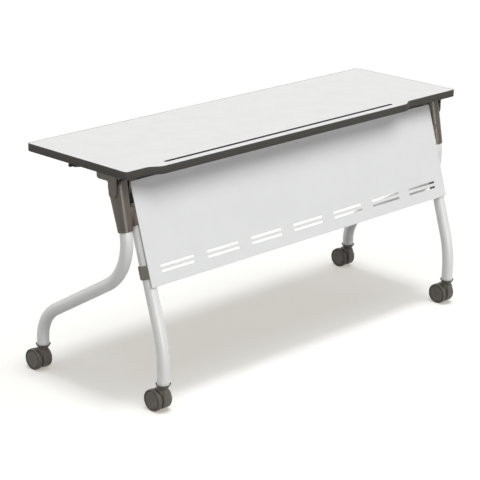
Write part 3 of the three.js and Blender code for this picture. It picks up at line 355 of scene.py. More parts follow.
def mirrored(profile, sign):
    """A turned profile, or its mirror image, along the axis."""
    return [(radius, sign * along) for radius, along in profile]


def swept_tube(name, path, radius, sides, flat_normal=Vector((1.0, 0.0, 0.0))):
    """A round bar along a path; flat_normal is square to the path's plane, or None for a path in space."""
    rings = []
    side = flat_normal
    for i, point in enumerate(path):
        along = (path[min(i + 1, len(path) - 1)] - path[max(i - 1, 0)]).normalized()
        if flat_normal is None:
            side = side or along.orthogonal()
            side = (side - along * side.dot(along)).normalized()
        other = along.cross(side)
        rings.append([point + radius * (math.cos(t) * side + math.sin(t) * other) for t in around(sides)])
    return loft(name, rings)


def bent_path(x, corners, bends):
    """Corner points in Y and Z with each inner corner rounded to its bend radius, in the plane x."""
    path = [Vector((x, *corners[0]))]
    for before, corner, after, bend in zip(corners, corners[1:], corners[2:], bends):
        inward, outward = (before - corner).normalized(), (after - corner).normalized()
        half = inward.angle(outward) / 2
        centre = corner + (inward + outward).normalized() * bend / math.sin(half)
        start = corner + inward * bend / math.tan(half) - centre
        end = corner + outward * bend / math.tan(half) - centre
        sweep = math.atan2(start.x * end.y - start.y * end.x, start.dot(end))
        for step in range(CURVE_STEPS + 1):
            path.append(Vector((x, *(centre + Matrix.Rotation(sweep * step / CURVE_STEPS, 2) @ start))))
    path.append(Vector((x, *corners[-1])))
    return path


def arc(centre, radius, start, end, steps):
    """Points on an arc, angles in degrees."""
    turn = [math.radians(start + (end - start) * i / steps) for i in range(steps + 1)]
    return [Vector((centre[0] + radius * math.cos(t), centre[1] + radius * math.sin(t))) for t in turn]


def cubic(a, b, c, d, steps=CURVE_STEPS):
    """Points on a cubic curve after its first point."""
    a, b, c, d = Vector(a), Vector(b), Vector(c), Vector(d)
    points = []
    for i in range(1, steps + 1):
        t = i / steps
        s = 1 - t
        points.append(a * s**3 + b * 3 * s * s * t + c * 3 * s * t * t + d * t**3)
    return points


def outward_normals(outline):
    """Mitred outward normals of a counter-clockwise outline."""
    normals = []
    for i, point in enumerate(outline):
        arrive = (point - outline[i - 1]).normalized()
        leave = (outline[(i + 1) % len(outline)] - point).normalized()
        bisector = (arrive + leave).normalized()
        normals.append(Vector((bisector.y, -bisector.x)) / max(0.5, bisector.dot(arrive)))
    return normals


def slab(name, outline, low, high):
    """An outline in plan drawn up from low to high."""
    return place(name, loft(name, [[Vector((*p, z)) for p in outline] for z in (low, high)]))


def rounded_prism(name, outline, half, rounding, put):
    """An outline drawn out by half each way with rounded rims; put turns (across, up, along) into a point."""
    normals = outward_normals(outline)
    turns = [math.radians(angle) for angle in (0.0, 22.5, 45.0, 67.5, 90.0)]
    rims = [(rounding * (1 - math.cos(t)) - half, rounding * (1 - math.sin(t))) for t in turns]
    far = [(-along, inset) for along, inset in reversed(rims)]
    rings = [
        [put(p.x - n.x * inset, p.y - n.y * inset, along) for p, n in zip(outline, normals)]
        for along, inset in rims + far
    ]
    return loft(name, rings)


def carve(piece, tool, operation="DIFFERENCE"):
    """Cuts or joins one closed mesh with another and keeps the result on the piece."""
    modifier = piece.modifiers.new(operation.title(), "BOOLEAN")
    modifier.operation = operation
    modifier.solver = "EXACT"
    modifier.object = tool
    bpy.context.view_layer.update()
    result = bpy.data.meshes.new_from_object(piece.evaluated_get(bpy.context.evaluated_depsgraph_get()))
    piece.modifiers.clear()
    piece.data = result
    spare = tool.data
    bpy.data.objects.remove(tool)
    bpy.data.meshes.remove(spare)
    sharpen(piece.data)


def block(name, low, high, rounding=0.0):
    """A box between two corners with eased edges."""
    form = bmesh.new()
    bmesh.ops.create_cube(form, size=1.0)
    span, middle = Vector(high) - Vector(low), (Vector(high) + Vector(low)) / 2
    bmesh.ops.scale(form, vec=span, verts=form.verts)
    bmesh.ops.translate(form, vec=middle, verts=form.verts)
    if rounding:
        bmesh.ops.bevel(form, geom=form.edges[:], offset=rounding, segments=3, profile=0.5, affect="EDGES")
    mesh = bpy.data.meshes.new(name)
    form.to_mesh(mesh)
    form.free()
    sharpen(mesh)
    return place(name, mesh)


def along_axis(mesh, start, direction):
    """Turns a mesh made along +Z so that it starts at a point and runs in a direction."""
    turn = UP.rotation_difference(direction)
    mesh.transform(Matrix.Translation(start) @ turn.to_matrix().to_4x4())
    return mesh


def dress(piece, material, body, record_slot, *nodes):
    """Gives a piece its finish, its body and the solids that it stands for."""
    piece.data.materials.clear()
    piece.data.materials.append(material)
    if nodes:
        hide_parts(*nodes)
    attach(piece, body)


def refinish(material, *nodes, easing=0.0):
    """A better finish, and eased edges, for solids whose shape is right."""
    for node in nodes:
        solid = NODES[node]
        sharpen(solid.data)
        solid.data.materials.clear()
        solid.data.materials.append(material)
        if easing:
            modifier = solid.modifiers.new("Eased edges", "BEVEL")
            modifier.width = easing
            modifier.segments = 2
            modifier.limit_method = "ANGLE"
            modifier.angle_limit = math.radians(40)
            modifier.harden_normals = True


# Finishes

NOISE_RANGE = (0.3, 0.7)


def set_inputs(node, **values):
    """Sets a node's sockets; an underscore stands for a space in a socket's name."""
    for socket, value in values.items():
        node.inputs[socket.replace("_", " ")].default_value = value


def finish_nodes(name):
    """A material with its tree and shader, which are None where the material is already made."""
    material = bpy.data.materials.get(name)
    if material:
        return material, None, None
    material = bpy.data.materials.new(name)
    material.use_nodes = True
    tree = material.node_tree
    return material, tree, tree.nodes["Principled BSDF"]


def noise(tree, scale, detail=3.0, roughness=0.55, stretch=None):
    """Noise in the piece's own metres, so that it moves with the piece."""
    source = tree.nodes.new("ShaderNodeTexCoord").outputs["Object"]
    if stretch:
        mapping = tree.nodes.new("ShaderNodeMapping")
        set_inputs(mapping, Scale=stretch)
        tree.links.new(source, mapping.inputs["Vector"])
        source = mapping.outputs["Vector"]
    texture = tree.nodes.new("ShaderNodeTexNoise")
    set_inputs(texture, Scale=scale, Detail=detail, Roughness=roughness)
    tree.links.new(source, texture.inputs["Vector"])
    return texture.outputs["Fac"]


def shades(tree, shader, base, factor, darkest, lightest):
    """A base colour that drifts between a darker and a lighter shade."""
    ramp = tree.nodes.new("ShaderNodeValToRGB")
    for element, position, shade in zip(ramp.color_ramp.elements, NOISE_RANGE, (darkest, lightest)):
        element.position = position
        element.color = (*(min(1.0, channel * shade) for channel in base), 1.0)
    tree.links.new(factor, ramp.inputs["Fac"])
    tree.links.new(ramp.outputs["Color"], shader.inputs["Base Color"])


def sheen_range(tree, shader, factor, smoothest, roughest):
    """A roughness that drifts between two values."""
    span = tree.nodes.new("ShaderNodeMapRange")
    set_inputs(span, From_Min=NOISE_RANGE[0], From_Max=NOISE_RANGE[1], To_Min=smoothest, To_Max=roughest)
    tree.links.new(factor, span.inputs["Value"])
    tree.links.new(span.outputs["Result"], shader.inputs["Roughness"])


def relief(tree, shader, height, depth, amount):
    """Fine bumps of a depth in metres."""
    bump = tree.nodes.new("ShaderNodeBump")
    set_inputs(bump, Distance=depth, Strength=amount)
    tree.links.new(height, bump.inputs["Height"])
    tree.links.new(bump.outputs["Normal"], shader.inputs["Normal"])


def laminate_finish(context):
    """Matt warm white laminate with a faint pearl and mottle."""
    material, tree, shader = finish_nodes("worktop_laminate")
    if tree:
        shades(tree, shader, settings(context).finish.laminate, noise(tree, 14.0, 6.0, 0.6), 0.975, 1.02)
        sheen_range(tree, shader, noise(tree, 60.0), 0.4, 0.52)
        relief(tree, shader, noise(tree, 1800.0, 2.0), 0.08 * MM, 0.25)
        set_inputs(shader, Specular_IOR_Level=0.4)
    return material


def edging_finish(context):
    """Dark edging with a fine extruded grain along the edge."""
    material, tree, shader = finish_nodes("dark_edging")
    if tree:
        grain = noise(tree, 500.0, 4.0, 0.6, stretch=(0.06, 0.06, 1.0))
        shades(tree, shader, settings(context).finish.edging, grain, 0.88, 1.14)
        sheen_range(tree, shader, noise(tree, 120.0), 0.55, 0.7)
        relief(tree, shader, grain, 0.1 * MM, 0.3)
        set_inputs(shader, Specular_IOR_Level=0.2)
    return material


def taupe_paint(context):
    """Satin taupe paint over cast metal, slightly pebbled and worn a little lighter in patches."""
    material, tree, shader = finish_nodes("taupe_paint")
    if tree:
        shades(tree, shader, settings(context).finish.taupe, noise(tree, 22.0, 5.0, 0.6), 0.93, 1.09)
        sheen_range(tree, shader, noise(tree, 90.0), 0.38, 0.5)
        relief(tree, shader, noise(tree, 900.0, 2.0), 0.12 * MM, 0.35)
        set_inputs(shader, Metallic=0.15, Coat_Weight=0.08, Coat_Roughness=0.35)
    return material


def plated_steel(context):
    """Zinc plated steel with drawn lines along the pin."""
    material, tree, shader = finish_nodes("plated_steel")
    if tree:
        lines = noise(tree, 900.0, 4.0, 0.6, stretch=(0.05, 1.0, 1.0))
        shades(tree, shader, settings(context).finish.steel, lines, 0.86, 1.1)
        sheen_range(tree, shader, lines, 0.26, 0.42)
        relief(tree, shader, lines, 0.04 * MM, 0.3)
        set_inputs(shader, Metallic=1.0)
    return material


def moulded(name, base, smoothest):
    """Moulded plastic or rubber with a spark eroded grain."""
    material, tree, shader = finish_nodes(name)
    if tree:
        shades(tree, shader, base, noise(tree, 45.0, 5.0, 0.6), 0.92, 1.1)
        sheen_range(tree, shader, noise(tree, 160.0), smoothest, smoothest + 0.12)
        relief(tree, shader, noise(tree, 2600.0, 3.0, 0.7), 0.08 * MM, 0.4)
    return material


# Dark liner moulding whose colour also holds painted shade for the inside of the groove.
def liner_plastic_and_painted_shade(context):
    return moulded("groove_moulding_and_painted_shade", settings(context).finish.liner, 0.55)


def hood_plastic(context):
    return moulded("taupe_moulding", settings(context).finish.taupe_plastic, 0.46)


def clip_plastic(context):
    return moulded("clip_moulding", settings(context).finish.clip, 0.4)


def wheel_plastic(context):
    return moulded("wheel_moulding", settings(context).finish.wheel, 0.5)


def nylon_plastic(context):
    return moulded("natural_nylon", settings(context).finish.nylon, 0.4)


def black_rubber(context):
    return moulded("black_rubber", settings(context).finish.rubber, 0.7)


def powder_coat(name, base, smoothest):
    """Powder coat with its fine orange peel."""
    material, tree, shader = finish_nodes(name)
    if tree:
        shades(tree, shader, base, noise(tree, 9.0, 4.0), 0.985, 1.015)
        sheen_range(tree, shader, noise(tree, 70.0), smoothest, smoothest + 0.08)
        relief(tree, shader, noise(tree, 700.0, 2.0), 0.1 * MM, 0.22)
        set_inputs(shader, Coat_Weight=0.12, Coat_Roughness=0.3)
    return material


def tube_coat(context):
    return powder_coat("tube_powder_coat", settings(context).finish.tube, 0.34)


def panel_coat(context):
    return powder_coat("panel_powder_coat", settings(context).finish.panel, 0.44)


# Worktop


def s_step(start, end):
    """An S-shaped step between two stretches of the edge, after its first point."""
    middle = (start[0] + end[0]) / 2
    return cubic(start, (middle, start[1]), (middle, end[1]), end)


def worktop_outline(top, inset):
    """The worktop seen from above, counter-clockwise, set in by a margin."""
    left, right = BAND_LOW.x + inset, BAND_HIGH.x - inset
    user, out = BAND_HIGH.y - inset, BAND_LOW.y + inset
    edge = out + top.projection
    r = top.corner_radius - inset
    stand_left, stand_right = BAND_LOW.x + top.left_margin, BAND_HIGH.x - top.right_margin
    outline = [Vector((left + r, edge)), Vector((stand_left - top.step_run, edge))]
    outline += s_step((stand_left - top.step_run, edge), (stand_left, out))
    outline.append(Vector((stand_right, out)))
    outline += s_step((stand_right, out), (stand_right + top.step_run, edge))
    outline += arc((right - r, edge + r), r, -90, 0, CORNER_STEPS)
    outline += arc((right - r, user - r), r, 0, 90, CORNER_STEPS)
    outline += arc((left + r, user - r), r, 90, 180, CORNER_STEPS)
    outline += arc((left + r, edge + r), r, 180, 270, CORNER_STEPS)[:-1]
    return outline


def worktop_board(context, top):
    """Laminated board with the groove cut into it."""
    seam, room, proud = 0.05 * MM, 0.3 * MM, 5 * MM
    outline = worktop_outline(top, top.edging_thickness + seam)
    board = slab("worktop_board", outline, BAND_LOW.z, BAND_HIGH.z)
    low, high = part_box("groove_liner")
    r, middle = (high.y - low.y) / 2 + room, (low.y + high.y) / 2
    slot = arc((high.x + room - r, middle), r, -90, 90, 12)
    slot += arc((low.x - room + r, middle), r, 90, 270, 12)
    carve(board, slab("groove_cutter", slot, BAND_HIGH.z - top.groove_depth, BAND_HIGH.z + proud))
    dress(board, laminate_finish(context), "top", "laminate", "top_board")


def worktop_edging(context, top):
    """Dark edge band with eased rims round the board."""
    outline = worktop_outline(top, 0.0)
    under, upper = BAND_LOW.z, BAND_HIGH.z
    inner, ease = -top.edging_thickness, top.edging_ease
    nick = 0.3 * ease
    profile = [(inner, under), (-ease, under), (-nick, under + nick), (0.0, under + ease)]
    profile += [(0.0, upper - ease), (-nick, upper - nick), (-ease, upper), (inner, upper)]
    rings = [
        [Vector((p.x + n.x * out, p.y + n.y * out, z)) for out, z in profile]
        for p, n in zip(outline, outward_normals(outline))
    ]
    edging = place("worktop_edging", loft("worktop_edging", rings, joined=True))
    dress(edging, edging_finish(context), "top", "edging", "edge_band")


class TABLE_OT_worktop(bpy.types.Operator):
    """Board with its laminate faces, dark edging and groove"""

    bl_idname = "training_table.worktop"
    bl_label = "Worktop"

    def execute(self, context):
        top = settings(context).worktop
        worktop_board(context, top)
        worktop_edging(context, top)
        # The liner's dark colour also paints in the shade inside the groove.
        refinish(liner_plastic_and_painted_shade(context), "groove_liner")
        return {"FINISHED"}


# Tilting gear


def screw_mesh():
    """Low domed screw with a hexagon recess, head down along -Z; the sizes are in millimetres."""
    name = "hexagon_screw"
    made = bpy.data.meshes.get(name)
    if made:
        return made
    turn, sixth = around(24), math.pi / 3
    dome = [(4.6, 0.0), (4.6, -0.7), (4.2, -1.5), (3.2, -2.2), (2.1, -2.5)]
    rings = [[Vector((r * math.cos(t), r * math.sin(t), z)) * MM for t in turn] for r, z in dome]
    half_flats, recess = 1.7, (-2.45, -1.0)
    hexagon = [half_flats / math.cos(t % sixth - sixth / 2) for t in turn]
    for z in recess:
        rings.append([Vector((r * math.cos(t), r * math.sin(t), z)) * MM for r, t in zip(hexagon, turn)])
    return loft(name, rings)


def bracket_screws(context, side):
    """Screws that hold a tilt bracket to the board, two by its user side end and two by its arm."""
    low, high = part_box(f"tilt_bracket_{side}")
    inner = min(abs(low.x), abs(high.x))
    plate = 4.3 * MM
    rows = ((high.y - 14 * MM, (11 * MM, 31 * MM)), (PIVOT.y + 48 * MM, (60 * MM, 76 * MM)))
    spots = [(SIDES[side] * (inner + x), y, BAND_LOW.z - plate) for y, across in rows for x in across]
    for i, spot in enumerate(spots):
        screw = place(f"bracket_screw_{side}_{i + 1}", screw_mesh(), spot)
        dress(screw, plated_steel(context), "top", "steel")


class TABLE_OT_tilt_gear(bpy.types.Operator):
    """Tilt brackets, their pins, bushes and stops, and the screws under the board"""

    bl_idname = "training_table.tilt_gear"
    bl_label = "Tilt gear"

    def execute(self, context):
        for side in SIDES:
            refinish(taupe_paint(context), f"tilt_bracket_{side}", easing=0.5 * MM)
            refinish(plated_steel(context), f"pivot_pin_{side}", f"lever_pin_{side}", easing=0.3 * MM)
            refinish(nylon_plastic(context), f"pivot_bush_{side}")
            refinish(black_rubber(context), f"stop_pad_{side}")
            bracket_screws(context, side)
        return {"FINISHED"}


# Release gear

BAR_SIDES = 32


def release_bar_form():
    """The release bar's middle, radius and half length."""
    low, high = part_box("release_bar")
    return (low + high) / 2, (high.z - low.z) / 2, (high.x - low.x) / 2


def release_rod(context, sizes):
    """Painted rod between the grips."""
    middle, radius, half = release_bar_form()
    end = half - sizes.grip_length
    mesh = rod("release_bar_rod", radius - sizes.grip_wall, -end, end, BAR_SIDES)
    dress(place("release_bar_rod", mesh, middle), taupe_paint(context), "release", "bar", "release_bar")


def release_grip(context, sizes, side):
    """Rubber grip with a round end, pushed over the rod."""
    middle, radius, half = release_bar_form()
    start, lip = half - sizes.grip_length - sizes.grip_overlap, 0.2 * MM
    profile = [(0.0, start), (radius - lip, start), (radius, start + sizes.grip_wall)]
    profile.append((radius, half - radius))
    profile += arc((0.0, half - radius), radius, 15, 90, 5)
    name = f"release_grip_{side}"
    grip = place(name, turned(name, mirrored(profile, SIDES[side]), "X", BAR_SIDES), middle)
    dress(grip, black_rubber(context), "release", "bar")


def lever_coil(context, sizes, side):
    """Return spring wound round the lever's pin."""
    sign, end_room, steps = SIDES[side], 1 * MM, 18
    low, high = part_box(f"lever_spring_{side}")
    near, far = sorted((low.x, high.x), key=abs)
    start, span = near + sign * end_room, far - near - 2 * sign * end_room
    total = sizes.coil_turns * steps
    path = []
    for i in range(total + 1):
        angle = 2 * math.pi * i / steps
        y, z = sizes.coil_radius * math.cos(angle), sizes.coil_radius * math.sin(angle)
        path.append(Vector((start + span * i / total, LEVER_PIVOT.y + y, LEVER_PIVOT.z + z)))
    name = f"lever_coil_{side}"
    spring = place(name, swept_tube(name, path, sizes.wire_radius, 8, None))
    dress(spring, plated_steel(context), "top", "steel", f"lever_spring_{side}")


class TABLE_OT_release(bpy.types.Operator):
    """Release bar with its grip ends, rocker levers and return springs"""

    bl_idname = "training_table.release"
    bl_label = "Release gear"

    def execute(self, context):
        sizes = settings(context).release
        release_rod(context, sizes)
        for side in SIDES:
            release_grip(context, sizes, side)
            refinish(taupe_paint(context), f"release_lever_{side}", easing=0.6 * MM)
            lever_coil(context, sizes, side)
        return {"FINISHED"}


# Heads

HEAD_STEPS = 10
PAST_ALL = 1.0


def on_head(f, x, along, forward):
    """A point by its distance up the head's axis and towards the panel side."""
    y = PIVOT.y - f.head_offset + math.sin(f.head_tilt) * along - math.cos(f.head_tilt) * forward
    z = f.head_bottom + math.cos(f.head_tilt) * along + math.sin(f.head_tilt) * forward
    return Vector((x, y, z))


def head_ring(f, side, along, draw_in=0.0, pinch=0.0):
    """A rounded section of the head; draw_in narrows its outer side alone, pinch all its sides."""
    share, least_flat = along / f.head_length, 1 * MM
    front, back, inner = (
        f.head_foot + (top - f.head_foot) * share - pinch
        for top in (f.head_top_front, f.head_top_back, f.head_half_width)
    )
    outer = inner - draw_in
    r = min(f.head_edge, (outer + inner) / 2 - least_flat)
    section = arc((outer - r, front - r), r, 0, 90, HEAD_STEPS)
    section += arc((-inner + r, front - r), r, 90, 180, HEAD_STEPS)
    section += arc((-inner + r, -back + r), r, 180, 270, HEAD_STEPS)
    section += arc((outer - r, -back + r), r, 270, 360, HEAD_STEPS)
    foot = abs(FEET[f"front_{side}"].x)
    return [on_head(f, SIDES[side] * (foot + p.x), along, p.y) for p in section]


def head_form(f, side, name):
    """The whole head, from its eased foot to its rounded outer shoulder."""
    foot = ((0.0, 1.2 * MM), (0.4 * MM, 0.4 * MM), (1.2 * MM, 0.0))
    rings = [head_ring(f, side, along, pinch=pinch) for along, pinch in foot]
    straight, draw = f.head_length - f.head_shoulder, 0.8 * f.head_shoulder
    rings += [head_ring(f, side, straight * i / 6) for i in range(1, 6)]
    shoulder = [(angle, 0.0) for angle in range(0, 73, 8)] + [(75, 1 * MM)]
    for angle, pinch in shoulder:
        t = math.radians(angle)
        along = f.head_length - f.head_shoulder * (1 - math.sin(t))
        rings.append(head_ring(f, side, along, draw * (1 - math.cos(t)), pinch))
    return place(name, loft(name, rings))


def head_halves(context, side):
    """Cast inner half and moulded outer cover, with the seam between them."""
    f, bore, reach = settings(context).frame, settings(context).fitting.bush_bore, 0.2
    sign = SIDES[side]
    outside = abs(FEET[f"front_{side}"].x) + f.head_half_width
    seam = outside - f.cover_thickness
    for name, near, far, node, record_slot in (
        ("head_shell", 0.0, seam - 0.15 * MM, "head_casting", "head"),
        ("head_cap", seam + 0.25 * MM, PAST_ALL, "head_cover", "trim"),
    ):
        piece = head_form(f, side, f"{name}_{side}")
        low, high = sorted((sign * near, sign * far))
        carve(piece, block("keep_box", (low, -PAST_ALL, 0.0), (high, PAST_ALL, 2 * PAST_ALL)), "INTERSECT")
        tool = rod("bush_bore", bore, -reach, reach, BAR_SIDES)
        carve(piece, place("bush_bore", tool, (sign * outside, PIVOT.y, PIVOT.z)))
        dress(piece, taupe_paint(context), "frame", record_slot, f"{node}_{side}")


def rear_axis(f, side, z):
    """The point of the rear leg's sloping axis at a height."""
    rear = FEET[f"rear_{side}"]
    return Vector((rear.x, rear.y + (z - f.rear_knee) * math.tan(f.rear_tilt), z))


def towards_panel(f):
    """The direction square to the panel, away from the rear leg."""
    return Vector((0.0, -math.cos(f.rear_tilt), math.sin(f.rear_tilt)))


def panel_flat(context, side):
    """Cutter that leaves room for the panel in front of the rear leg."""
    f, distance = settings(context).frame, settings(context).fitting.panel_distance
    flat = block("panel_flat", (-0.2, -0.3, 0.0), (0.2, 0.3, 0.1))
    along_axis(flat.data, rear_axis(f, side, PIVOT.z) + towards_panel(f) * distance, towards_panel(f))
    return flat


def cast_block(context, name, side, across, depth, height, rounding):
    """A block of a head's casting; across is measured outwards from the table's middle."""
    (x0, x1), (y0, y1), (z0, z1) = sorted(SIDES[side] * x for x in across), depth, height
    piece = block(f"{name}_{side}", (x0, y0, z0), (x1, y1, z1), rounding)
    dress(piece, taupe_paint(context), "frame", "head")


def rear_socket(context, side):
    """Socket that takes the rear leg's upper end."""
    f, g = settings(context).frame, settings(context).fitting
    low, high = rear_axis(f, side, g.socket_low), rear_axis(f, side, g.socket_high)
    r, length = g.socket_radius, (high - low).length
    profile = [(0, 0), (r - 2.2 * MM, 0), (r - 0.6 * MM, 0.5 * MM), (r, 2 * MM), (r, length - 3 * MM)]
    profile += [(r - 0.9 * MM, length - 0.9 * MM), (r - 3 * MM, length), (0, length)]
    name = f"rear_socket_{side}"
    socket = place(name, along_axis(turned(name, profile), low, high - low))
    carve(socket, panel_flat(context, side))
    dress(socket, taupe_paint(context), "frame", "head")


def beam_pad(context, side):
    """Pad that takes the cross beam's end."""
    margin, gap = settings(context).fitting.beam_margin, 0.3 * MM
    low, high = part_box("cross_beam")
    across = (high.x + gap, abs(FEET[f"rear_{side}"].x))
    depth, height = (low.y - margin, high.y + margin), (low.z - margin, high.z + margin)
    cast_block(context, "beam_pad", side, across, depth, height, 2.5 * MM)


def head_web(context, side):
    """Web between the rear socket and the head."""
    f, g = settings(context).frame, settings(context).fitting
    low, high = rear_axis(f, side, g.socket_low), rear_axis(f, side, g.socket_high)
    start, middle, inset = abs(low.x), (low.y + high.y) / 2, 3 * MM
    depth = (middle - g.web_half_depth, middle + g.web_half_depth)
    height = (low.z + inset, high.z - inset)
    cast_block(context, "head_web", side, (start, start + g.web_width), depth, height, 3 * MM)


def latch_keeper(context, side):
    """Keeper behind the lever's latch nose."""
    g = settings(context).fitting
    low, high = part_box(f"release_lever_{side}")
    middle, back = abs(low.x + high.x) / 2, low.y - g.keeper_distance
    across = (middle - g.keeper_half_width, middle + g.keeper_half_width)
    depth, height = (back, back + g.keeper_depth), (PIVOT.z, PIVOT.z + g.keeper_height)
    cast_block(context, "latch_keeper", side, across, depth, height, 1.5 * MM)


def head_hub(context, side):
    """Boss about the tilt axis, on its neck above the rear socket."""
    f, g = settings(context).frame, settings(context).fitting
    end = abs(FEET[f"front_{side}"].x) - f.head_half_width - g.cheek_slot
    start, r = end - g.hub_length, g.hub_radius
    depth = (PIVOT.y - g.neck_half_depth, PIVOT.y + g.neck_half_depth)
    height = (g.socket_high - 6 * MM, PIVOT.z)
    cast_block(context, "head_neck", side, (start + 1.5 * MM, end - 0.5 * MM), depth, height, 3 * MM)

    profile = [(0, start), (r - 3 * MM, start), (r - 0.9 * MM, start + 0.9 * MM), (r, start + 3 * MM)]
    profile += [(r, end - 1.5 * MM), (r - 0.5 * MM, end - 0.5 * MM), (r - 1.5 * MM, end), (0, end)]
    name = f"head_hub_{side}"
    mesh = turned(name, mirrored(profile, SIDES[side]), "X", 64)
    hub = place(name, mesh, (0.0, PIVOT.y, PIVOT.z))
    carve(hub, panel_flat(context, side))
    dress(hub, taupe_paint(context), "frame", "head")


def stop_post(context, side):
    """Post that carries the rubber stop pad."""
    low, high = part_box(f"stop_pad_{side}")
    middle = (low + high) / 2
    foot = PIVOT.z + settings(context).fitting.post_foot
    top, r = low.z - 0.3 * MM, (high.x - low.x) / 2
    flare, ease = r + 2.5 * MM, 0.8 * MM
    profile = [(0, foot - 4 * MM), (flare, foot - 4 * MM), (flare, foot + 6 * MM), (r, foot + 12 * MM)]
    profile += [(r, top - ease), (r - ease, top), (0, top)]
    name = f"stop_post_{side}"
    post = place(name, turned(name, profile), (middle.x, middle.y, 0.0))
    dress(post, taupe_paint(context), "frame", "head")


class TABLE_OT_heads(bpy.types.Operator):
    """Heads that carry the tilt axis and take both legs"""

    bl_idname = "training_table.heads"
    bl_label = "Heads"

    def execute(self, context):
        for side in SIDES:
            for make in (head_halves, rear_socket, beam_pad, head_web, latch_keeper, head_hub, stop_post):
                make(context, side)
        return {"FINISHED"}


# Legs


def front_leg_path(f, side):
    """From inside the head down, along the slope towards the user and down to the front caster."""
    foot = FEET[f"front_{side}"]
    top, leave = on_head(f, foot.x, f.front_top, 0.0), on_head(f, foot.x, 0.0, 0.0)
    fall, lean = math.tan(f.front_slope), math.tan(f.head_tilt)
    knee = PIVOT.y + f.front_knee_offset
    crossing = (knee * fall + f.front_knee_height - leave.z + leave.y / lean) / (fall + 1 / lean)
    corners = [
        Vector((top.y, top.z)),
        Vector((crossing, f.front_knee_height - (crossing - knee) * fall)),
        Vector((foot.y, f.front_knee_height - (foot.y - knee) * fall)),
        Vector((foot.y, f.tube_bottom)),
    ]
    return bent_path(foot.x, corners, (f.front_upper_bend, f.front_lower_bend))


def rear_leg_path(f, side):
    """From the rear socket down along the panel and down to the rear caster."""
    foot = FEET[f"rear_{side}"]
    top = rear_axis(f, side, f.rear_top)
    corners = [Vector((top.y, top.z)), Vector((foot.y, f.rear_knee)), Vector((foot.y, f.tube_bottom))]
    return bent_path(foot.x, corners, (f.rear_bend,))


class TABLE_OT_legs(bpy.types.Operator):
    """Front and rear legs, bent from round tube"""

    bl_idname = "training_table.legs"
    bl_label = "Legs"

    def execute(self, context):
        f = settings(context).frame
        for side in SIDES:
            for end, path in (("front", front_leg_path(f, side)), ("rear", rear_leg_path(f, side))):
                name = f"{end}_leg_tube_{side}"
                leg = place(name, swept_tube(name, path, f.tube_radius, f.tube_sides))
                dress(leg, tube_coat(context), "frame", "frame_white", f"{end}_leg_{side}")
        return {"FINISHED"}


# Panel and beam


def panel_clip(context, side):
    """Saddle between the rear leg and the panel, its seat level with the panel's end."""
    f, g = settings(context).frame, settings(context).fitting
    centre, forward = rear_axis(f, side, g.clip_height), towards_panel(f)
    up = Vector((0.0, math.sin(f.rear_tilt), math.cos(f.rear_tilt)))
    seat = [Vector((g.clip_seat_half, g.clip_seat)), Vector((-g.clip_seat_half, g.clip_seat))]
    section = [Vector((g.clip_radius, 0.0)), *seat, Vector((-g.clip_radius, 0.0))]
    section += arc((0.0, 0.0), g.clip_radius, 180, 360, 24)[1:-1]

    def on_leg(across, out, along):
        return centre + Vector((across, 0.0, 0.0)) + forward * out + up * along

    name = f"panel_saddle_{side}"
    saddle = place(name, rounded_prism(name, section, g.clip_half_length, g.clip_edge, on_leg))
    dress(saddle, clip_plastic(context), "frame", "trim", f"panel_clip_{side}")


class TABLE_OT_panel(bpy.types.Operator):
    """Modesty panel, its clips and hangers, and the cross beam"""

    bl_idname = "training_table.panel"
    bl_label = "Panel and beam"

    def execute(self, context):
        refinish(panel_coat(context), "modesty_panel")
        # The cross beam's dark taupe paint also stands in for the shade seen in the gap between the board's
        # edge and the panel's top.
        refinish(taupe_paint(context), "cross_beam", easing=1.5 * MM)
        for side in SIDES:
            panel_clip(context, side)
            refinish(hood_plastic(context), f"panel_hanger_{side}", easing=1 * MM)
        return {"FINISHED"}


# Casters

WHEEL_SIDES = 64


def socket_mesh(f, c):
    """Flared cup under the tube's end."""
    end, rim, neck = f.tube_bottom, c.rim_radius, c.neck_radius
    base, cup, gap = end - c.socket_depth, f.tube_radius + 0.15 * MM, 0.3 * MM
    start = Vector((neck - 0.9 * MM, base + 1.4 * MM))
    stop = Vector((rim - 0.2 * MM, end + 3.6 * MM))
    foot = [(0.0, base), (neck - 2.2 * MM, base), (neck - 1.2 * MM, base + 0.5 * MM), start]
    flare = cubic(start, start + Vector((0.6 * MM, 6 * MM)), stop - Vector((3 * MM, 7 * MM)), stop, 12)
    lip = [(rim, end + 4.1 * MM), (rim - 0.5 * MM, end + 4.5 * MM), (rim - 1.3 * MM, end + 4.3 * MM)]
    seat = [(cup, end + 1.5 * MM), (cup, end - gap), (0.0, end - gap)]
    return turned("caster_cup", foot + flare + lip + seat, sides=56)


def hood_outline(c):
    """Side view of the hood: round the wheels, over the neck and down its front, in the trail's direction."""
    r, neck, top = c.wheel_radius - c.hood_inset, c.neck_radius, c.hood_top
    lowest = math.degrees(math.asin((c.hood_floor - c.wheel_radius) / r))
    brow, shoulder, chamfer = 100.8, top - 4 * MM, 2 * MM
    outline = arc((c.trail, c.wheel_radius), r, lowest, brow, 36)
    outline += [Vector((neck, shoulder)), Vector((neck - chamfer, top))]
    outline += [Vector((-neck + chamfer, top)), Vector((-neck, shoulder))]
    outline += cubic(
        (-neck, shoulder),
        (-neck - 1 * MM, c.wheel_radius + 17 * MM),
        (-neck - 9 * MM, c.wheel_radius - 6 * MM),
        (-neck + 11 * MM, c.hood_floor),
    )
    return outline


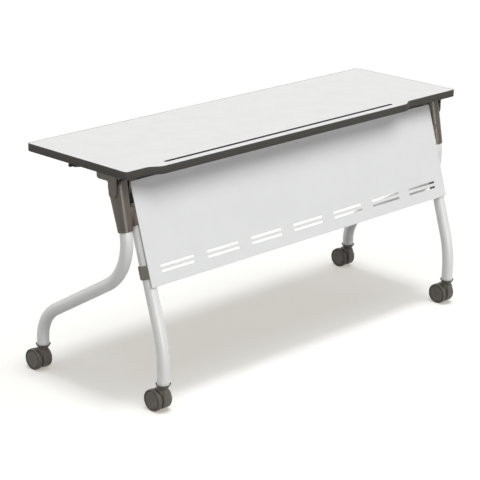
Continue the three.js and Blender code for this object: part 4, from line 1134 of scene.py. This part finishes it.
def hood_neck(c):
    """Round neck on the swivel axis, with room beside the hood for both wheels."""
    low, neck, top = c.wheel_radius, c.neck_radius, c.hood_top
    profile = [(0, low), (neck, low), (neck, top - 3 * MM), (neck - 0.5 * MM, top - 1.4 * MM)]
    profile += [(neck - 1.6 * MM, top - 0.3 * MM), (neck - 2.4 * MM, top), (0, top)]
    collar = place("caster_neck", turned("caster_neck", profile))
    room, half = c.wheel_radius + 1.5 * MM, c.hood_width / 2
    for start in (half, -half - c.wheel_width):
        tool = rod("wheel_room", room, start, start + c.wheel_width, WHEEL_SIDES)
        carve(collar, place("wheel_room", tool, (0.0, c.trail, c.wheel_radius)))
    return collar


def hood_mesh(c):
    """Hood between the wheels with its neck and open underside."""
    half, name = c.hood_width / 2, "caster_hood_form"
    form = rounded_prism(name, hood_outline(c), half, c.hood_edge, lambda a, b, d: Vector((d, a, b)))
    hood = place(name, form)
    carve(hood, hood_neck(c), "UNION")
    low = (-half + c.hood_wall, 2 * MM, -10 * MM)
    high = (half - c.hood_wall, c.trail + 16 * MM, c.hood_floor + 5 * MM)
    carve(hood, block("hood_mouth", low, high))
    mesh = hood.data
    bpy.data.objects.remove(hood)
    return mesh


def wheel_mesh(c, direction):
    """One wheel, its inner face at zero along X; the profile is in millimetres."""
    r, w = c.wheel_radius / MM, c.wheel_width / MM
    bore = [(0, 9.8), (4.4, 9.8), (4.4, 0.4), (5.0, 0)]
    tread = [(r - 2.2, 0), (r - 0.9, 0.3), (r - 0.2, 1.0), (r, 1.9), (r, w - 3.4)]
    shoulder = [(r - 0.3, w - 2.2), (r - 1.0, w - 1.3), (r - 1.9, w - 0.8), (r - 2.8, w - 0.7)]
    groove = [(r - 3.5, w - 0.9), (r - 3.9, w - 1.5), (r - 4.2, w - 4.0), (r - 6.3, w - 4.0)]
    groove += [(r - 6.6, w - 1.8), (r - 7.2, w - 1.3)]
    face = [(r - 12.0, w - 1.1), (9.6, w - 0.7), (9.1, w - 0.9), (8.8, w - 1.3), (8.3, w - 1.3)]
    cap = [(7.9, w - 0.9), (5.0, w - 0.6), (0, w - 0.5)]
    profile = [(radius * MM, along * MM) for radius, along in bore + tread + shoulder + groove + face + cap]
    return turned("caster_wheel_form", mirrored(profile, direction), "X", WHEEL_SIDES)


class TABLE_OT_casters(bpy.types.Operator):
    """Four swivel casters with twin wheels"""

    bl_idname = "training_table.casters"
    bl_label = "Casters"

    def execute(self, context):
        f, c = settings(context).frame, settings(context).caster
        cup, hood = socket_mesh(f, c), hood_mesh(c)
        wheels = {sign: wheel_mesh(c, sign) for sign in SIDES.values()}
        for corner, foot in FEET.items():
            at = Vector((foot.x, foot.y, 0.0))
            sign = SIDES[corner.split("_")[1]]
            socket = place(f"caster_cup_{corner}", cup, at)
            dress(socket, hood_plastic(context), "frame", "trim", f"caster_socket_{corner}")
            shell = place(f"caster_shell_{corner}", hood, at)
            dress(shell, hood_plastic(context), f"swivel_{corner}", "caster", f"caster_hood_{corner}")
            refinish(plated_steel(context), f"caster_stem_{corner}", f"caster_axle_{corner}", easing=0.3 * MM)
            for which, direction in (("outboard", sign), ("inboard", -sign)):
                offset = direction * (c.hood_width / 2 + c.wheel_gap)
                spot = at + Vector((offset, c.trail, c.wheel_radius))
                wheel = place(f"caster_roller_{corner}_{which}", wheels[direction], spot)
                body = f"wheel_{corner}_{which}"
                dress(wheel, wheel_plastic(context), body, "wheel", f"caster_wheel_{corner}_{which}")
        return {"FINISHED"}


# Stage

LAMP_DISTANCE = 3.0


def camera_only(tree, seen, unseen):
    """One shader for the camera, mirrors and glass, another for the light that falls on the table."""
    path = tree.nodes.new("ShaderNodeLightPath")
    factor = path.outputs["Is Camera Ray"]
    for ray in ("Is Glossy Ray", "Is Transmission Ray"):
        either = tree.nodes.new("ShaderNodeMath")
        either.operation = "MAXIMUM"
        tree.links.new(factor, either.inputs[0])
        tree.links.new(path.outputs[ray], either.inputs[1])
        factor = either.outputs[0]
    mix = tree.nodes.new("ShaderNodeMixShader")
    tree.links.new(factor, mix.inputs["Fac"])
    tree.links.new(unseen, mix.inputs[1])
    tree.links.new(seen, mix.inputs[2])
    return mix.outputs["Shader"]


def floor_finish(context):
    """Pale matt floor that keeps the table's shadow and is lifted to white where the light falls."""
    finish = settings(context).finish
    material, tree, _ = finish_nodes("studio_floor")
    if tree:
        tree.nodes.clear()
        output = tree.nodes.new("ShaderNodeOutputMaterial")
        matt, dull = (tree.nodes.new("ShaderNodeBsdfDiffuse") for _ in range(2))
        set_inputs(matt, Color=(*finish.floor, 1.0))
        set_inputs(dull, Color=(*finish.floor_bounce, 1.0))
        glow = tree.nodes.new("ShaderNodeEmission")
        set_inputs(glow, Color=(*finish.floor_glow, 1.0), Strength=settings(context).stage.floor_lift)
        both = tree.nodes.new("ShaderNodeAddShader")
        tree.links.new(matt.outputs[0], both.inputs[0])
        tree.links.new(glow.outputs[0], both.inputs[1])
        tree.links.new(camera_only(tree, both.outputs[0], dull.outputs[0]), output.inputs["Surface"])
    return material


def pale_floor(context):
    """One wide level face under the table."""
    reach, name = settings(context).stage.floor_reach, "studio_floor"
    corners = [(-reach, -reach, 0), (reach, -reach, 0), (reach, reach, 0), (-reach, reach, 0)]
    floor = place(name, mesh_from(name, corners, [(0, 1, 2, 3)]))
    floor.data.materials.append(floor_finish(context))
    return floor


def surround(context):
    """White backdrop for the camera, and a dome light that is stronger overhead."""
    stage, white = settings(context).stage, (1.0, 1.0, 1.0, 1.0)
    world = bpy.data.worlds.new("studio_surround")
    context.scene.world = world
    world.use_nodes = True
    tree = world.node_tree
    tree.nodes.clear()
    output = tree.nodes.new("ShaderNodeOutputWorld")
    backdrop, dome = (tree.nodes.new("ShaderNodeBackground") for _ in range(2))
    set_inputs(backdrop, Color=white, Strength=1.0)
    set_inputs(dome, Color=white)
    where = tree.nodes.new("ShaderNodeTexCoord")
    parts = tree.nodes.new("ShaderNodeSeparateXYZ")
    climb = tree.nodes.new("ShaderNodeMapRange")
    climb.interpolation_type = "SMOOTHSTEP"
    zenith = stage.horizon_light + stage.zenith_light
    set_inputs(climb, From_Min=0.0, From_Max=1.0, To_Min=stage.horizon_light, To_Max=zenith)
    tree.links.new(where.outputs["Generated"], parts.inputs[0])
    tree.links.new(parts.outputs["Z"], climb.inputs["Value"])
    tree.links.new(climb.outputs["Result"], dome.inputs["Strength"])
    tree.links.new(camera_only(tree, backdrop.outputs[0], dome.outputs[0]), output.inputs["Surface"])


def softbox(name, floor, energy, spread, direction, on_floor=False):
    """A far light, its spread in degrees, that shines on the floor alone or on all but the floor."""
    data = bpy.data.lights.new(name, "SUN")
    data.energy = energy
    data.angle = math.radians(spread)
    light = bpy.data.objects.new(name, data)
    light.rotation_euler = Vector(direction).to_track_quat("-Z", "Y").to_euler()
    light.location = Vector(direction) * -LAMP_DISTANCE
    bpy.context.scene.collection.objects.link(light)
    group = bpy.data.collections.new(name)
    group.objects.link(floor)
    group.collection_objects[0].light_linking.link_state = "INCLUDE" if on_floor else "EXCLUDE"
    light.light_linking.receiver_collection = group
    return light


def table_lights(context, floor):
    """Soft light on both long sides, and a low strip that shows in gloss only."""
    stage = settings(context).stage
    softbox("panel_side_softbox", floor, stage.panel_light, spread=38, direction=(0.05, 1.0, -1.38))
    softbox("user_side_softbox", floor, stage.user_light, spread=50, direction=(0.55, -1.0, -0.3))
    strip = softbox("gloss_strip", floor, stage.gloss_light, spread=16, direction=(0.29, 0.96, -0.05))
    strip.visible_diffuse = False


def floor_lights(context, floor):
    """One light from above that draws the table's shadow, and two crossed ones that soften its ends."""
    total = settings(context).stage.floor_light
    main_share, cross_share = 0.75, 0.13
    softbox("floor_spot", floor, total * main_share, 12, (0.0, 0.07, -1.0), on_floor=True)
    for side, sign in SIDES.items():
        direction = (0.28 * sign, 0.27, -1.0)
        softbox(f"floor_fill_{side}", floor, total * cross_share, 24, direction, on_floor=True)


def photograph_camera(context):
    """The camera at the photograph's place and angle."""
    stage = settings(context).stage
    drop, turn, roll = stage.camera_drop, stage.camera_turn, stage.camera_roll
    forward = Vector((math.cos(drop) * math.sin(turn), math.cos(drop) * math.cos(turn), -math.sin(drop)))
    right = forward.cross(UP).normalized()
    up = right.cross(forward)
    right, up = right * math.cos(roll) + up * math.sin(roll), up * math.cos(roll) - right * math.sin(roll)
    data = bpy.data.cameras.new("photograph")
    data.sensor_width = 36.0
    data.lens = stage.focal_pixels / stage.picture_pixels * data.sensor_width
    data.clip_end = 200.0
    camera = bpy.data.objects.new("photograph", data)
    turned_axes = Matrix((right, up, -forward)).transposed().to_4x4()
    camera.matrix_world = Matrix.Translation(stage.camera_place) @ turned_axes
    context.scene.collection.objects.link(camera)
    context.scene.camera = camera


class TABLE_OT_stage(bpy.types.Operator):
    """Pale floor, soft studio light and the photograph's camera"""

    bl_idname = "training_table.stage"
    bl_label = "Stage"

    def execute(self, context):
        context.scene.view_settings.view_transform = "Standard"
        floor = pale_floor(context)
        surround(context)
        table_lights(context, floor)
        floor_lights(context, floor)
        photograph_camera(context)
        return {"FINISHED"}


GROUPS = (WorktopSizes, ReleaseSizes, FrameSizes, FittingSizes, CasterSizes, TableFinishes, StageSettings)
STEPS = (
    TABLE_OT_stage,
    TABLE_OT_worktop,
    TABLE_OT_tilt_gear,
    TABLE_OT_release,
    TABLE_OT_heads,
    TABLE_OT_legs,
    TABLE_OT_panel,
    TABLE_OT_casters,
)


class TABLE_PT_sidebar(bpy.types.Panel):
    """Lists the table's building steps and its sizes"""

    bl_idname = "TABLE_PT_sidebar"
    bl_label = "Training Table"
    bl_space_type = "VIEW_3D"
    bl_region_type = "UI"
    bl_category = "Training Table"

    def draw(self, context):
        for step in STEPS:
            self.layout.operator(step.bl_idname)
        table = settings(context)
        for name in TrainingTable.__annotations__:
            group = getattr(table, name)
            column = self.layout.column(align=True)
            column.label(text=group.__doc__)
            for key in group.__annotations__:
                column.prop(group, key)


CLASSES = (*GROUPS, TrainingTable, *STEPS, TABLE_PT_sidebar)


def register():
    for cls in CLASSES:
        bpy.utils.register_class(cls)
    bpy.types.Scene.training_table = PointerProperty(type=TrainingTable)


def unregister():
    del bpy.types.Scene.training_table
    for cls in reversed(CLASSES):
        bpy.utils.unregister_class(cls)


def main():
    register()
    bpy.ops.training_table.stage()
    bpy.ops.training_table.worktop()
    bpy.ops.training_table.tilt_gear()
    bpy.ops.training_table.release()
    bpy.ops.training_table.heads()
    bpy.ops.training_table.legs()
    bpy.ops.training_table.panel()
    bpy.ops.training_table.casters()


if __name__ == "__main__":
    main()
